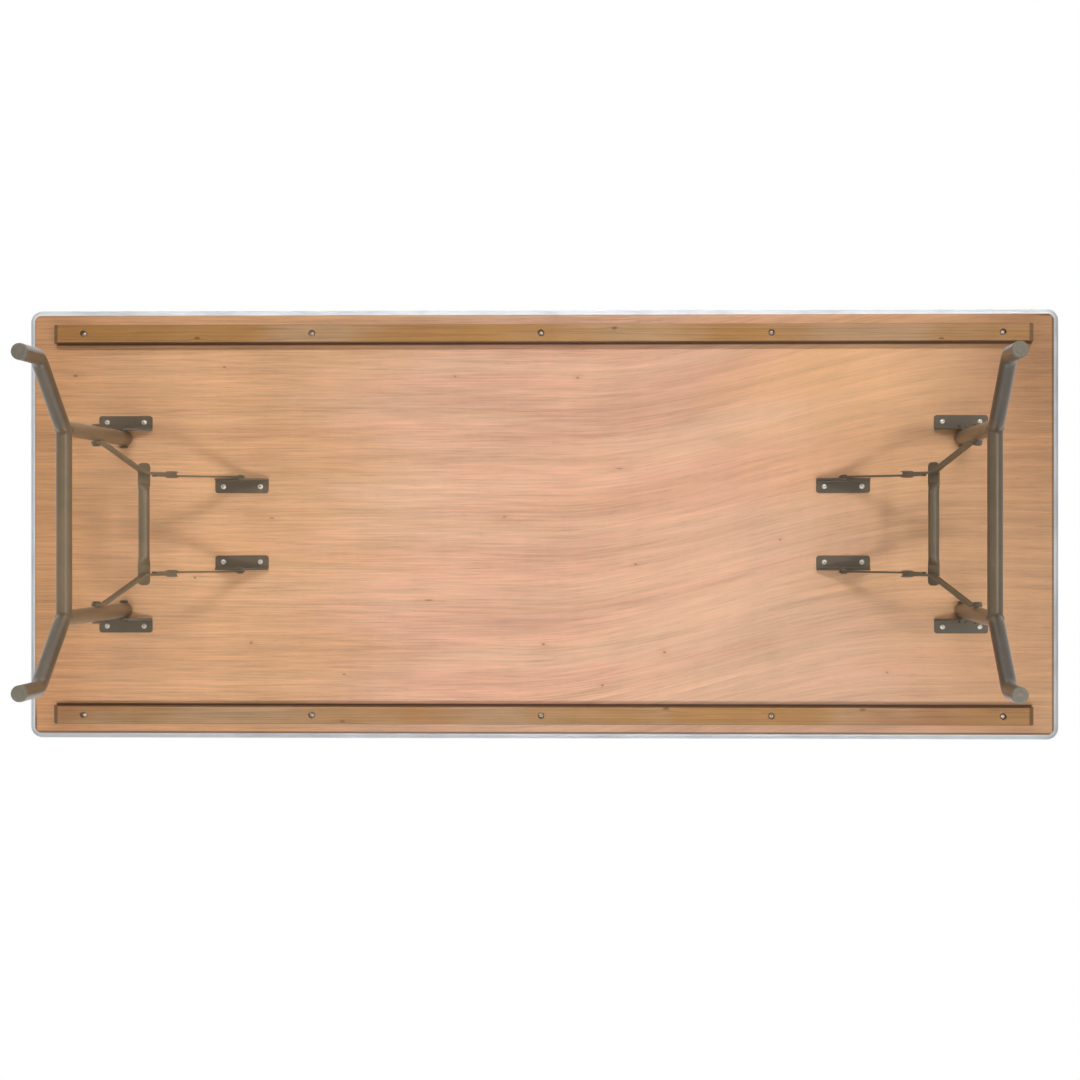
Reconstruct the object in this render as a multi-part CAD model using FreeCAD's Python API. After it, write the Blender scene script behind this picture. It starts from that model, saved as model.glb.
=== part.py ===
import FreeCAD, Part
import math
import os

from FreeCAD import Placement, Rotation, Vector

# Folding banquet table, upright, in millimetres.
# Origin on the floor under the middle of the top, X along the length, Y across, Z up.
# Every piece is drawn once at the right end and the back side, and mirrored from there.

# Top
TABLE_LENGTH = 1829.0
TABLE_WIDTH = 762.0
TABLE_HEIGHT = 762.0
PANEL_THICKNESS = 19.0
CORNER_RADIUS = 20.0

# Aluminium strip pressed into a saw kerf round the edge of the top
TRIM_DEPTH = 9.0
TRIM_LAND = 2.5
TONGUE_DEPTH = 7.0
TONGUE_THICKNESS = 2.6
TRIM_GAP = 0.1
SEAM_GAP = 0.6
SEAM_FROM_MIDDLE = 202.0

# Stiffening battens under the long edges
BATTEN_WIDTH = 32.0
BATTEN_HEIGHT = 25.0
BATTEN_END_SETBACK = 47.5
BATTEN_SIDE_SETBACK = 27.0
BATTEN_END_CHAMFER = 8.0
BATTEN_EDGE_ROUND = 2.0
BATTEN_SCREWS = 5
BATTEN_SCREW_FROM_END = 54.0
COUNTERBORE_DIAMETER = 12.0
COUNTERBORE_DEPTH = 9.0

# Wood screws
SCREW_DIAMETER = 4.2
SCREW_HEAD_DIAMETER = 9.4
SCREW_HEAD_HEIGHT = 3.0
SCREW_BITE = 12.0
SCREW_TIP = 3.0
SCREW_CLEARANCE = 0.1

# Stamped angle brackets
BRACKET_LENGTH = 95.0
BRACKET_THICKNESS = 3.0
BRACKET_FOOT = 26.0
BRACKET_BEND = 3.0
BRACKET_SHOULDER = 9.0
BRACKET_CORNER = 5.0
BRACKET_EAR_RADIUS = 13.0
BRACKET_SCREW_PITCH = 66.0
PIVOT_DROP = 20.0

# Legs of bent tube
LEG_DIAMETER = 25.4
LEG_WALL = 1.6
LEG_END_SETBACK = 172.5
LEG_SPACING = 304.8
FOOT_SPACING = 510.0
KNEE_HEIGHT = 273.0
ANKLE_HEIGHT = 113.0
LEG_BEND_RADIUS = 60.0
LEG_ABOVE_PIVOT = 12.0
CROSSBAR_DIAMETER = 25.4
CROSSBAR_HEIGHT = 281.0
WELD_GAP = 0.05

# Foot plugs
PLUG_FLANGE = 7.0
PLUG_STEM = 24.0
PLUG_EDGE_ROUND = 2.5
PLUG_CLEARANCE = 0.1

# Bolts, nuts and washers
BOLT_DIAMETER = 8.0
BOLT_RUNNING_GAP = 0.05
BOLT_HEAD_HEIGHT = 3.6
BOLT_ACROSS_FLATS = 13.0
BOLT_END = 0.5
NUT_HEIGHT = 4.0
WASHER_DIAMETER = 17.0
WASHER_THICKNESS = 1.5
HEAD_FACE_SHARE = 0.95
FACE_GAP = 0.3

# Folding brace of flat bar, from a bracket under the top to the leg
BRACE_REACH = 208.0
BRACE_DROP = 216.0
BRACE_BRACKET_SPACING = 163.0
UPPER_LINK_WIDTH = 16.0
UPPER_LINK_THICKNESS = 3.2
LOWER_LINK_THICKNESS = 4.0
LOWER_LINK_BEND = 12.0
LOWER_LINK_PAD = 13.0
LINK_TAIL = 37.5
LINK_STOP_LENGTH = 10.0
LINK_STOP_LIP = 3.0
RIVET_DIAMETER = 7.0
RIVET_HEAD_DIAMETER = 13.0
RIVET_HEAD_HEIGHT = 2.6
KNUCKLE_HEAD_DIAMETER = 24.0
DOME_SHAPE = ((0.0, 1.0), (0.6, 0.88), (0.9, 0.5), (1.0, 0.0))
RIVET_END_GAP = 0.1

# Tie bar of tube, pressed flat and trimmed at its ends, welded to both lower links
TIE_DIAMETER = 19.0
TIE_WALL = 1.5
TIE_FROM_LEG_BOLT = 103.0
TIE_OVERHANG = 16.0
TIE_FLAT_WIDTH = 23.5
TIE_FLAT_SETBACK = 11.0
TIE_TAPER = 14.0
TIE_SPLIT_ANGLE = 25.0
TIE_TIP_RADIUS = 8.0

# Worked out from the sizes above
UNDERSIDE = TABLE_HEIGHT - PANEL_THICKNESS
PIVOT_Z = UNDERSIDE - PIVOT_DROP
HINGE_X = TABLE_LENGTH / 2 - LEG_END_SETBACK
LEG_Y = LEG_SPACING / 2
FOOT_Y = FOOT_SPACING / 2
LEG_RADIUS = LEG_DIAMETER / 2
LEG_BORE_RADIUS = LEG_RADIUS - LEG_WALL
PANEL_LENGTH = TABLE_LENGTH - 2 * TRIM_DEPTH
PANEL_WIDTH = TABLE_WIDTH - 2 * TRIM_DEPTH
PANEL_RADIUS = CORNER_RADIUS - TRIM_DEPTH
BATTEN_LENGTH = TABLE_LENGTH - 2 * BATTEN_END_SETBACK
BATTEN_Y = TABLE_WIDTH / 2 - BATTEN_SIDE_SETBACK - BATTEN_WIDTH / 2
BATTEN_SCREW_PITCH = (BATTEN_LENGTH - 2 * BATTEN_SCREW_FROM_END) / (BATTEN_SCREWS - 1)
BOLT_RADIUS = BOLT_DIAMETER / 2
RIVET_RADIUS = RIVET_DIAMETER / 2
WASHER_Y = LEG_Y + LEG_RADIUS + FACE_GAP
HINGE_FLANGE_Y = WASHER_Y + WASHER_THICKNESS
HINGE_NUT_Y = LEG_Y - LEG_RADIUS - FACE_GAP
BRACE_X = HINGE_X - BRACE_REACH
BRACE_FLANGE_Y = BRACE_BRACKET_SPACING / 2 - BRACKET_THICKNESS
UPPER_LINK_Y = BRACE_BRACKET_SPACING / 2 + FACE_GAP
LOWER_LINK_Y = UPPER_LINK_Y + UPPER_LINK_THICKNESS + FACE_GAP
LOWER_LINK_WIDTH = UPPER_LINK_WIDTH + 2 * FACE_GAP
LINK_PAD_Y = LEG_Y - LEG_RADIUS - 2 * FACE_GAP - LOWER_LINK_THICKNESS
LEG_BOLT_END_Y = LEG_Y - LEG_RADIUS - FACE_GAP
TIE_FLAT_THICKNESS = 2 * TIE_WALL

# The two links are in line at rest and lie on each other when folded.
BRACE_LENGTH = math.hypot(BRACE_REACH, BRACE_DROP)
UPPER_LINK_LENGTH = (BRACE_LENGTH - BRACE_DROP + BRACE_REACH) / 2
LOWER_LINK_LENGTH = (BRACE_LENGTH + BRACE_DROP - BRACE_REACH) / 2
BRACE_ANGLE = math.degrees(math.atan2(BRACE_DROP, BRACE_REACH))
TIE_AT = LOWER_LINK_LENGTH - TIE_FROM_LEG_BOLT

ORIGIN = Vector(0, 0, 0)
X_AXIS = Vector(1, 0, 0)
Y_AXIS = Vector(0, 1, 0)
Z_AXIS = Vector(0, 0, 1)
ENDS = ("left", "right")
SIDES = ("front", "back")


def to_place(shape, end, side):
    """Mirror a shape drawn at the right end and the back side to another corner."""
    if end == "left":
        shape = shape.mirror(ORIGIN, X_AXIS)
    if side == "front":
        shape = shape.mirror(ORIGIN, Y_AXIS)
    return shape


def group(shapes):
    """Several separate solids in one node."""
    return Part.makeCompound([solid for shape in shapes for solid in shape.Solids])


def both_sides(shape, end):
    """The same piece at the front and at the back of one end, as one node."""
    return group([to_place(shape, end, side) for side in SIDES])


def prism(outline, direction):
    """Solid made by moving a closed outline along a direction."""
    return Part.Face(outline).extrude(direction)


def rod(radius, start, end):
    """Round bar from one point to another."""
    return Part.makeCylinder(radius, (end - start).Length, start, end - start)


def rounded_path(points, radius):
    """Straight runs through the points, joined by tangent arcs of one radius."""
    edges = []
    start = points[0]
    for before, corner, after in zip(points, points[1:], points[2:]):
        into = (corner - before).normalize()
        out = (after - corner).normalize()
        half_turn = into.getAngle(out) / 2
        tangent = radius * math.tan(half_turn)
        sagitta = radius / math.cos(half_turn) - radius
        arc_start = corner - into * tangent
        arc_end = corner + out * tangent
        arc_middle = corner + (out - into).normalize() * sagitta
        edges.append(Part.makeLine(start, arc_start))
        edges.append(Part.Arc(arc_start, arc_middle, arc_end).toShape())
        start = arc_end
    edges.append(Part.makeLine(start, points[-1]))
    return Part.Wire(edges)


def rim_points(half_x, half_y, z, seam_x, gap):
    """Points once round a rectangle, from one side of a seam in its back edge to the other."""
    return [
        Vector(seam_x + gap / 2, half_y, z),
        Vector(half_x, half_y, z),
        Vector(half_x, -half_y, z),
        Vector(-half_x, -half_y, z),
        Vector(-half_x, half_y, z),
        Vector(seam_x - gap / 2, half_y, z),
    ]


def rounded_slab(length, width, radius, z, thickness):
    """Flat plate with round corners, centred on the Z axis, with its underside at z."""
    rim = rounded_path(rim_points(length / 2, width / 2, z, 0, 0), radius)
    return prism(rim, Vector(0, 0, thickness))


def sweep(outline, path):
    """Solid swept by a closed outline along a path of lines and tangent arcs."""
    return path.makePipeShell([outline], True, False)


def bar_outline(start, end, radius):
    """Outline in the XZ plane of a bar on the X axis with half-round ends."""
    return Part.Wire([
        Part.makeLine(Vector(start, 0, -radius), Vector(end, 0, -radius)),
        Part.Arc(Vector(end, 0, -radius), Vector(end + radius, 0, 0), Vector(end, 0, radius)).toShape(),
        Part.makeLine(Vector(end, 0, radius), Vector(start, 0, radius)),
        Part.Arc(Vector(start, 0, radius), Vector(start - radius, 0, 0),
                 Vector(start, 0, -radius)).toShape(),
    ])


def hexagon(across_flats, height, base, axis):
    """Hexagon head of one height on a base point, its far corners chamfered at 30 degrees."""
    corner_radius = across_flats / math.sqrt(3)
    angles = [math.radians(60 * corner) for corner in range(7)]
    outline = Part.makePolygon(
        [Vector(corner_radius * math.cos(angle), corner_radius * math.sin(angle), 0) for angle in angles])
    face_radius = across_flats / 2 * HEAD_FACE_SHARE
    cone = Part.makeCone(face_radius + height * math.sqrt(3), face_radius, height)
    head = prism(outline, Vector(0, 0, height)).common(cone)
    head.Placement = Placement(base, Rotation(Z_AXIS, axis))
    return head


def turned(profile, base, axis):
    """Solid turned from a closed list of (radius, height) points, set on a base point."""
    points = [Vector(radius, 0, height) for radius, height in profile]
    solid = Part.Face(Part.makePolygon(points + points[:1])).revolve(ORIGIN, Z_AXIS, 360)
    solid.Placement = Placement(base, Rotation(Z_AXIS, axis))
    return solid


def wood_screw(base, axis, length):
    """Domed wood screw, its head seated on the base point and its shank along the axis."""
    shank = SCREW_DIAMETER / 2
    head = SCREW_HEAD_DIAMETER / 2
    profile = [
        (0, -SCREW_HEAD_HEIGHT),
        (0.55 * head, -0.93 * SCREW_HEAD_HEIGHT),
        (0.86 * head, -0.66 * SCREW_HEAD_HEIGHT),
        (head, -0.2 * SCREW_HEAD_HEIGHT),
        (head, 0),
        (shank, 0),
        (shank, length - SCREW_TIP),
        (0, length),
    ]
    return turned(profile, base, axis)


def screw_hole(base, axis, length):
    """Hole that a wood screw's shank goes into."""
    return rod(SCREW_DIAMETER / 2 + SCREW_CLEARANCE, base, base + axis * (length + SCREW_CLEARANCE))


def bracket_screw_places(bracket_x, flange_y, outward):
    """Where the two screws of an angle bracket sit on its foot."""
    foot_y = flange_y + BRACKET_THICKNESS / 2 + outward * BRACKET_FOOT / 2
    z = UNDERSIDE - BRACKET_THICKNESS
    return [Vector(bracket_x + step * BRACKET_SCREW_PITCH / 2, foot_y, z) for step in (-1, 1)]


def all_bracket_screw_places():
    """Screw places of the hinge bracket and the brace bracket at the right end and back side."""
    hinge = bracket_screw_places(HINGE_X, HINGE_FLANGE_Y, 1)
    brace = bracket_screw_places(BRACE_X, BRACE_FLANGE_Y, -1)
    return hinge + brace


def batten_screw_places(side):
    """Where the screws of one batten sit, at the floor of their counterbores."""
    y = BATTEN_Y if side == "back" else -BATTEN_Y
    z = UNDERSIDE - BATTEN_HEIGHT + COUNTERBORE_DEPTH
    first = -BATTEN_SCREW_PITCH * (BATTEN_SCREWS - 1) / 2
    return [Vector(first + index * BATTEN_SCREW_PITCH, y, z) for index in range(BATTEN_SCREWS)]


def bracket_screw_length():
    """Shank length of a bracket screw, through the foot and into the panel."""
    return BRACKET_THICKNESS + SCREW_BITE


def batten_screw_length():
    """Shank length of a batten screw, through the batten and into the panel."""
    return BATTEN_HEIGHT - COUNTERBORE_DEPTH + SCREW_BITE


def make_top_panel():
    """Plywood panel with the kerf for the edge strip and pilot holes for the screws."""
    panel = rounded_slab(PANEL_LENGTH, PANEL_WIDTH, PANEL_RADIUS, UNDERSIDE, PANEL_THICKNESS)
    kerf_depth = TONGUE_DEPTH + TRIM_GAP
    kerf_height = TONGUE_THICKNESS + 2 * TRIM_GAP
    kerf_z = UNDERSIDE + (PANEL_THICKNESS - kerf_height) / 2
    core = rounded_slab(PANEL_LENGTH - 2 * kerf_depth, PANEL_WIDTH - 2 * kerf_depth,
                        PANEL_RADIUS - kerf_depth, kerf_z, kerf_height)
    kerf = rounded_slab(TABLE_LENGTH, TABLE_WIDTH, CORNER_RADIUS, kerf_z, kerf_height).cut(core)
    holes = [to_place(screw_hole(place, Z_AXIS, bracket_screw_length()), end, side)
             for place in all_bracket_screw_places() for end in ENDS for side in SIDES]
    holes += [screw_hole(place, Z_AXIS, batten_screw_length())
              for side in SIDES for place in batten_screw_places(side)]
    return panel.cut([kerf] + holes)


def make_edge_trim():
    """Bullnose strip with a tongue, bent once round the top, with its two ends butted."""
    inner_x = TABLE_LENGTH / 2 - TRIM_DEPTH + TRIM_GAP
    inner_y = TABLE_WIDTH / 2 - TRIM_DEPTH + TRIM_GAP
    middle_z = UNDERSIDE + PANEL_THICKNESS / 2
    path = rounded_path(rim_points(inner_x, inner_y, middle_z, -SEAM_FROM_MIDDLE, SEAM_GAP),
                        PANEL_RADIUS + TRIM_GAP)
    start_x = SEAM_GAP / 2 - SEAM_FROM_MIDDLE
    low = UNDERSIDE
    high = TABLE_HEIGHT
    tongue_low = middle_z - TONGUE_THICKNESS / 2
    tongue_high = middle_z + TONGUE_THICKNESS / 2
    land_y = inner_y + TRIM_LAND
    nose_y = TABLE_WIDTH / 2

    def at(y, z):
        return Vector(start_x, y, z)

    corners = [at(land_y, high), at(inner_y, high), at(inner_y, tongue_high),
               at(inner_y - TONGUE_DEPTH, tongue_high), at(inner_y - TONGUE_DEPTH, tongue_low),
               at(inner_y, tongue_low), at(inner_y, low), at(land_y, low)]
    edges = [Part.makeLine(first, last) for first, last in zip(corners, corners[1:])]
    edges.append(Part.Arc(at(land_y, low), at(nose_y, middle_z), at(land_y, high)).toShape())
    return sweep(Part.Wire(edges), path)


def make_batten(side):
    """Batten with chamfered ends, rounded lower edges and counterbored screw holes."""
    half = BATTEN_LENGTH / 2
    low = UNDERSIDE - BATTEN_HEIGHT
    edge_y = BATTEN_Y - BATTEN_WIDTH / 2
    corners = [(-half, UNDERSIDE), (half, UNDERSIDE), (half, low + BATTEN_END_CHAMFER),
               (half - BATTEN_END_CHAMFER, low), (BATTEN_END_CHAMFER - half, low),
               (-half, low + BATTEN_END_CHAMFER)]
    points = [Vector(x, edge_y, z) for x, z in corners + corners[:1]]
    batten = prism(Part.makePolygon(points), Vector(0, BATTEN_WIDTH, 0))
    long_edges = [edge for edge in batten.Edges
                  if edge.BoundBox.ZMax < low + BATTEN_EDGE_ROUND and edge.BoundBox.XLength > half]
    batten = batten.makeFillet(BATTEN_EDGE_ROUND, long_edges)
    if side == "front":
        batten = batten.mirror(ORIGIN, Y_AXIS)
    cuts = []
    for place in batten_screw_places(side):
        mouth = place - Z_AXIS * (COUNTERBORE_DEPTH + SCREW_CLEARANCE)
        cuts.append(rod(COUNTERBORE_DIAMETER / 2, mouth, place))
        cuts.append(screw_hole(place, Z_AXIS, batten_screw_length()))
    return batten.cut(cuts)


def tangent_point(corner, centre, radius, turn):
    """Point where a line from a corner touches a circle in the XZ plane."""
    away = centre - corner
    angle = turn * math.degrees(math.asin(radius / away.Length))
    reach = math.sqrt(away.Length ** 2 - radius ** 2)
    return corner + Rotation(Y_AXIS, angle).multVec(away).normalize() * reach


def bracket_ear_outline(y):
    """Outline of a bracket's upright flange: straight shoulders drawn in to a round ear."""
    half = BRACKET_LENGTH / 2
    top_left = Vector(-half, y, 0)
    top_right = Vector(half, y, 0)
    shoulder_left = Vector(-half, y, -BRACKET_SHOULDER)
    shoulder_right = Vector(half, y, -BRACKET_SHOULDER)
    pivot = Vector(0, y, -PIVOT_DROP)
    touch_left = tangent_point(shoulder_left, pivot, BRACKET_EAR_RADIUS, 1)
    touch_right = tangent_point(shoulder_right, pivot, BRACKET_EAR_RADIUS, -1)
    lowest = pivot - Z_AXIS * BRACKET_EAR_RADIUS
    return Part.Wire([
        Part.makeLine(top_left, top_right),
        Part.makeLine(top_right, shoulder_right),
        Part.makeLine(shoulder_right, touch_right),
        Part.Arc(touch_right, lowest, touch_left).toShape(),
        Part.makeLine(touch_left, shoulder_left),
        Part.makeLine(shoulder_left, top_left),
    ])


def make_bracket(pivot_x, flange_y, outward, pin_radius):
    """Stamped angle: a foot screwed to the panel and an upright ear that holds a pivot."""
    wall = BRACKET_THICKNESS
    inner = BRACKET_BEND
    outer = inner + wall
    depth = PIVOT_DROP + BRACKET_EAR_RADIUS
    half = BRACKET_LENGTH / 2

    def at(y, z):
        return Vector(-half, y, z)

    bow = 1 - math.sqrt(0.5)
    section = Part.Wire([
        Part.makeLine(at(0, -depth), at(0, -outer)),
        Part.Arc(at(0, -outer), at(outer * bow, -outer * bow), at(outer, 0)).toShape(),
        Part.makeLine(at(outer, 0), at(BRACKET_FOOT, 0)),
        Part.makeLine(at(BRACKET_FOOT, 0), at(BRACKET_FOOT, -wall)),
        Part.makeLine(at(BRACKET_FOOT, -wall), at(outer, -wall)),
        Part.Arc(at(outer, -wall), at(wall + inner * bow, -wall - inner * bow), at(wall, -outer)).toShape(),
        Part.makeLine(at(wall, -outer), at(wall, -depth)),
        Part.makeLine(at(wall, -depth), at(0, -depth)),
    ])
    angle = prism(section, Vector(BRACKET_LENGTH, 0, 0))
    foot_corners = [edge for edge in angle.Edges
                    if edge.BoundBox.YMin > BRACKET_FOOT - wall and edge.BoundBox.XLength < wall
                    and edge.BoundBox.ZLength > wall / 2]
    angle = angle.makeFillet(BRACKET_CORNER, foot_corners)
    ear = prism(bracket_ear_outline(0), Vector(0, BRACKET_FOOT, 0))
    bracket = angle.common(ear)
    pivot_hole = rod(pin_radius, Vector(0, -wall, -PIVOT_DROP), Vector(0, 2 * wall, -PIVOT_DROP))
    screw_y = (wall + BRACKET_FOOT) / 2
    holes = [rod(SCREW_DIAMETER / 2 + SCREW_CLEARANCE, Vector(x, screw_y, -2 * wall), Vector(x, screw_y, wall))
             for x in (-BRACKET_SCREW_PITCH / 2, BRACKET_SCREW_PITCH / 2)]
    bracket = bracket.cut([pivot_hole] + holes)
    if outward < 0:
        bracket = bracket.mirror(Vector(0, wall / 2, 0), Y_AXIS)
    bracket.translate(Vector(pivot_x, flange_y, UNDERSIDE))
    return bracket


def make_bracket_screws():
    """All the screws that hold the angle brackets to the panel."""
    return group([to_place(wood_screw(place, Z_AXIS, bracket_screw_length()), end, side)
                  for place in all_bracket_screw_places() for end in ENDS for side in SIDES])


def make_batten_screws():
    """All the screws that hold the battens to the panel."""
    return group([wood_screw(place, Z_AXIS, batten_screw_length())
                  for side in SIDES for place in batten_screw_places(side)])


def leg_path():
    """Middle line of a leg: straight down, out to the ankle, then straight down to the foot."""
    return rounded_path([
        Vector(HINGE_X, LEG_Y, PIVOT_Z + LEG_ABOVE_PIVOT),
        Vector(HINGE_X, LEG_Y, KNEE_HEIGHT),
        Vector(HINGE_X, FOOT_Y, ANKLE_HEIGHT),
        Vector(HINGE_X, FOOT_Y, PLUG_FLANGE),
    ], LEG_BEND_RADIUS)


def leg_bar(radius):
    """Round bar along the leg's middle line."""
    ring = Part.Wire(Part.makeCircle(radius, Vector(HINGE_X, LEG_Y, PIVOT_Z + LEG_ABOVE_PIVOT), Z_AXIS))
    return sweep(ring, leg_path())


def make_leg_tube():
    """Bent leg tube with holes for the hinge bolt and the brace bolt."""
    far = Y_AXIS * LEG_DIAMETER
    hinge = Vector(HINGE_X, LEG_Y, PIVOT_Z)
    brace = Vector(HINGE_X, LEG_Y, PIVOT_Z - BRACE_DROP)
    holes = [rod(BOLT_RADIUS + BOLT_RUNNING_GAP, place - far, place + far) for place in (hinge, brace)]
    return leg_bar(LEG_RADIUS).cut([leg_bar(LEG_BORE_RADIUS)] + holes)


def make_crossbar():
    """Tube across a leg pair, its ends coped to the legs that they are welded to."""
    radius = CROSSBAR_DIAMETER / 2
    front = Vector(HINGE_X, -LEG_Y, CROSSBAR_HEIGHT)
    back = Vector(HINGE_X, LEG_Y, CROSSBAR_HEIGHT)
    coping = leg_bar(LEG_RADIUS + WELD_GAP)
    bar = rod(radius, front, back).cut([coping, coping.mirror(ORIGIN, Y_AXIS)])
    # The cut leaves the stretch between the legs and slivers beyond them.
    between = max(bar.Solids, key=lambda solid: solid.Volume)
    return between.cut(rod(radius - LEG_WALL, front, back))


def make_foot_plug():
    """Plastic plug with a rounded tread and a stem pushed up into the tube."""
    tread = LEG_RADIUS
    stem = LEG_BORE_RADIUS - PLUG_CLEARANCE
    bow = PLUG_EDGE_ROUND * (1 - math.sqrt(0.5))
    profile = [
        (0, 0),
        (tread - PLUG_EDGE_ROUND, 0),
        (tread - bow, bow),
        (tread, PLUG_EDGE_ROUND),
        (tread, PLUG_FLANGE),
        (stem, PLUG_FLANGE),
        (stem, PLUG_FLANGE + PLUG_STEM - PLUG_EDGE_ROUND),
        (stem - PLUG_EDGE_ROUND, PLUG_FLANGE + PLUG_STEM),
        (0, PLUG_FLANGE + PLUG_STEM),
    ]
    return turned(profile, Vector(HINGE_X, FOOT_Y, 0), Z_AXIS)


def make_hinge_bolt():
    """Hexagon bolt through the hinge bracket, the washer and the leg."""
    seat = Vector(HINGE_X, HINGE_FLANGE_Y + BRACKET_THICKNESS, PIVOT_Z)
    tip = Vector(HINGE_X, HINGE_NUT_Y - NUT_HEIGHT - BOLT_END, PIVOT_Z)
    head = hexagon(BOLT_ACROSS_FLATS, BOLT_HEAD_HEIGHT, seat, Y_AXIS)
    return head.fuse(rod(BOLT_RADIUS, tip, seat)).removeSplitter()


def make_hinge_washer():
    """Washer between the hinge bracket and the leg."""
    inner = Vector(HINGE_X, WASHER_Y, PIVOT_Z)
    outer = inner + Y_AXIS * WASHER_THICKNESS
    return rod(WASHER_DIAMETER / 2, inner, outer).cut(rod(BOLT_RADIUS + BOLT_RUNNING_GAP, inner, outer))


def nut(seat, axis):
    """Hexagon nut that starts at a seat and points along an axis."""
    bore = rod(BOLT_RADIUS + BOLT_RUNNING_GAP, seat, seat + axis * NUT_HEIGHT)
    return hexagon(BOLT_ACROSS_FLATS, NUT_HEIGHT, seat, axis).cut(bore)


def make_brace_bolt():
    """Bolt head and shank on the leg's side of the pivot between the leg and the brace."""
    seat = Vector(HINGE_X, LEG_Y + LEG_RADIUS, PIVOT_Z - BRACE_DROP)
    tip = Vector(HINGE_X, LEG_BOLT_END_Y, PIVOT_Z - BRACE_DROP)
    head = hexagon(BOLT_ACROSS_FLATS, BOLT_HEAD_HEIGHT, seat, Y_AXIS)
    return head.fuse(rod(BOLT_RADIUS, tip, seat)).removeSplitter()


def make_brace_nut():
    """Threaded end and nut on the brace's side of the pivot between the leg and the brace."""
    outer = Vector(HINGE_X, LINK_PAD_Y + LOWER_LINK_THICKNESS, PIVOT_Z - BRACE_DROP)
    seat = Vector(HINGE_X, LINK_PAD_Y, PIVOT_Z - BRACE_DROP)
    tip = seat - Y_AXIS * (NUT_HEIGHT + BOLT_END)
    body = hexagon(BOLT_ACROSS_FLATS, NUT_HEIGHT, seat, -Y_AXIS)
    return body.fuse(rod(BOLT_RADIUS, tip, outer)).removeSplitter()


def in_brace(shape, from_bracket):
    """Set a shape drawn along X, with the hinge on its Z side, a distance down the brace."""
    slope = Rotation(Y_AXIS, BRACE_ANGLE)
    start = Vector(BRACE_X, 0, PIVOT_Z) + slope.multVec(X_AXIS) * from_bracket
    shape.Placement = Placement(start, slope).multiply(shape.Placement)
    return shape


def make_upper_link():
    """Flat bar from the brace bracket, with a stop lip on its tail past the knuckle."""
    half = UPPER_LINK_WIDTH / 2
    tail_end = UPPER_LINK_LENGTH + LINK_TAIL
    bar = prism(bar_outline(0, tail_end - half, half), Vector(0, UPPER_LINK_THICKNESS, 0))
    lip_low = LOWER_LINK_WIDTH / 2 + FACE_GAP
    lip_start = tail_end - half / 2 - LINK_STOP_LENGTH
    ear = Part.makeBox(LINK_STOP_LENGTH, UPPER_LINK_THICKNESS, lip_low + LINK_STOP_LIP,
                       Vector(lip_start, 0, 0))
    lip = Part.makeBox(LINK_STOP_LENGTH, LOWER_LINK_Y + LOWER_LINK_THICKNESS - UPPER_LINK_Y, LINK_STOP_LIP,
                       Vector(lip_start, 0, lip_low))
    bar = bar.fuse([ear, lip]).removeSplitter()
    through = Y_AXIS * UPPER_LINK_THICKNESS
    for s in (0, UPPER_LINK_LENGTH):
        bar = bar.cut(rod(RIVET_RADIUS + BOLT_RUNNING_GAP, Vector(s, 0, 0), Vector(s, 0, 0) + through))
    bar.translate(Y_AXIS * UPPER_LINK_Y)
    return in_brace(bar, 0)


def make_lower_link():
    """Flat bar from the knuckle of the brace, bent out to the leg."""
    half = LOWER_LINK_WIDTH / 2
    middle = LOWER_LINK_THICKNESS / 2
    near_y = LOWER_LINK_Y + middle
    pad_y = LINK_PAD_Y + middle
    bend_start = TIE_AT + TIE_FLAT_WIDTH / 2 - LOWER_LINK_BEND / 2
    bend_end = LOWER_LINK_LENGTH - LOWER_LINK_PAD
    path = rounded_path([
        Vector(-half, near_y, 0),
        Vector(bend_start, near_y, 0),
        Vector(bend_end, pad_y, 0),
        Vector(LOWER_LINK_LENGTH + half, pad_y, 0),
    ], LOWER_LINK_BEND)
    corners = [(LOWER_LINK_Y, -half), (LOWER_LINK_Y + LOWER_LINK_THICKNESS, -half),
               (LOWER_LINK_Y + LOWER_LINK_THICKNESS, half), (LOWER_LINK_Y, half)]
    section = Part.makePolygon([Vector(-half, y, z) for y, z in corners + corners[:1]])
    bar = sweep(section, path)
    plan = prism(bar_outline(0, LOWER_LINK_LENGTH, half), Vector(0, TABLE_WIDTH, 0))
    bar = bar.common(plan)
    knuckle = Vector(0, LOWER_LINK_Y, 0)
    bolt = Vector(LOWER_LINK_LENGTH, LINK_PAD_Y, 0)
    through = Y_AXIS * LOWER_LINK_THICKNESS
    bar = bar.cut([rod(RIVET_RADIUS + BOLT_RUNNING_GAP, knuckle, knuckle + through),
                   rod(BOLT_RADIUS + BOLT_RUNNING_GAP, bolt, bolt + through)])
    return in_brace(bar, UPPER_LINK_LENGTH)


def rivet(start_y, end_y, head_diameter):
    """Rivet along Y with a low domed head at each end, on the brace's own Y axis."""
    head = head_diameter / 2
    length = end_y - start_y
    dome = [(across * head, -up * RIVET_HEAD_HEIGHT) for across, up in DOME_SHAPE]
    shank = [(RIVET_RADIUS, 0), (RIVET_RADIUS, length)]
    far_dome = [(radius, length - height) for radius, height in reversed(dome)]
    return turned(dome + shank + far_dome, Vector(0, start_y, 0), Y_AXIS)


def make_bracket_rivet():
    """Rivet that the upper link turns on in the brace bracket's ear."""
    outer_y = UPPER_LINK_Y + UPPER_LINK_THICKNESS + RIVET_END_GAP
    return in_brace(rivet(BRACE_FLANGE_Y, outer_y, RIVET_HEAD_DIAMETER), 0)


def make_knuckle_rivet():
    """Rivet that joins the upper link and the lower link."""
    outer_y = LOWER_LINK_Y + LOWER_LINK_THICKNESS + RIVET_END_GAP
    return in_brace(rivet(UPPER_LINK_Y, outer_y, KNUCKLE_HEAD_DIAMETER), UPPER_LINK_LENGTH)


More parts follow.
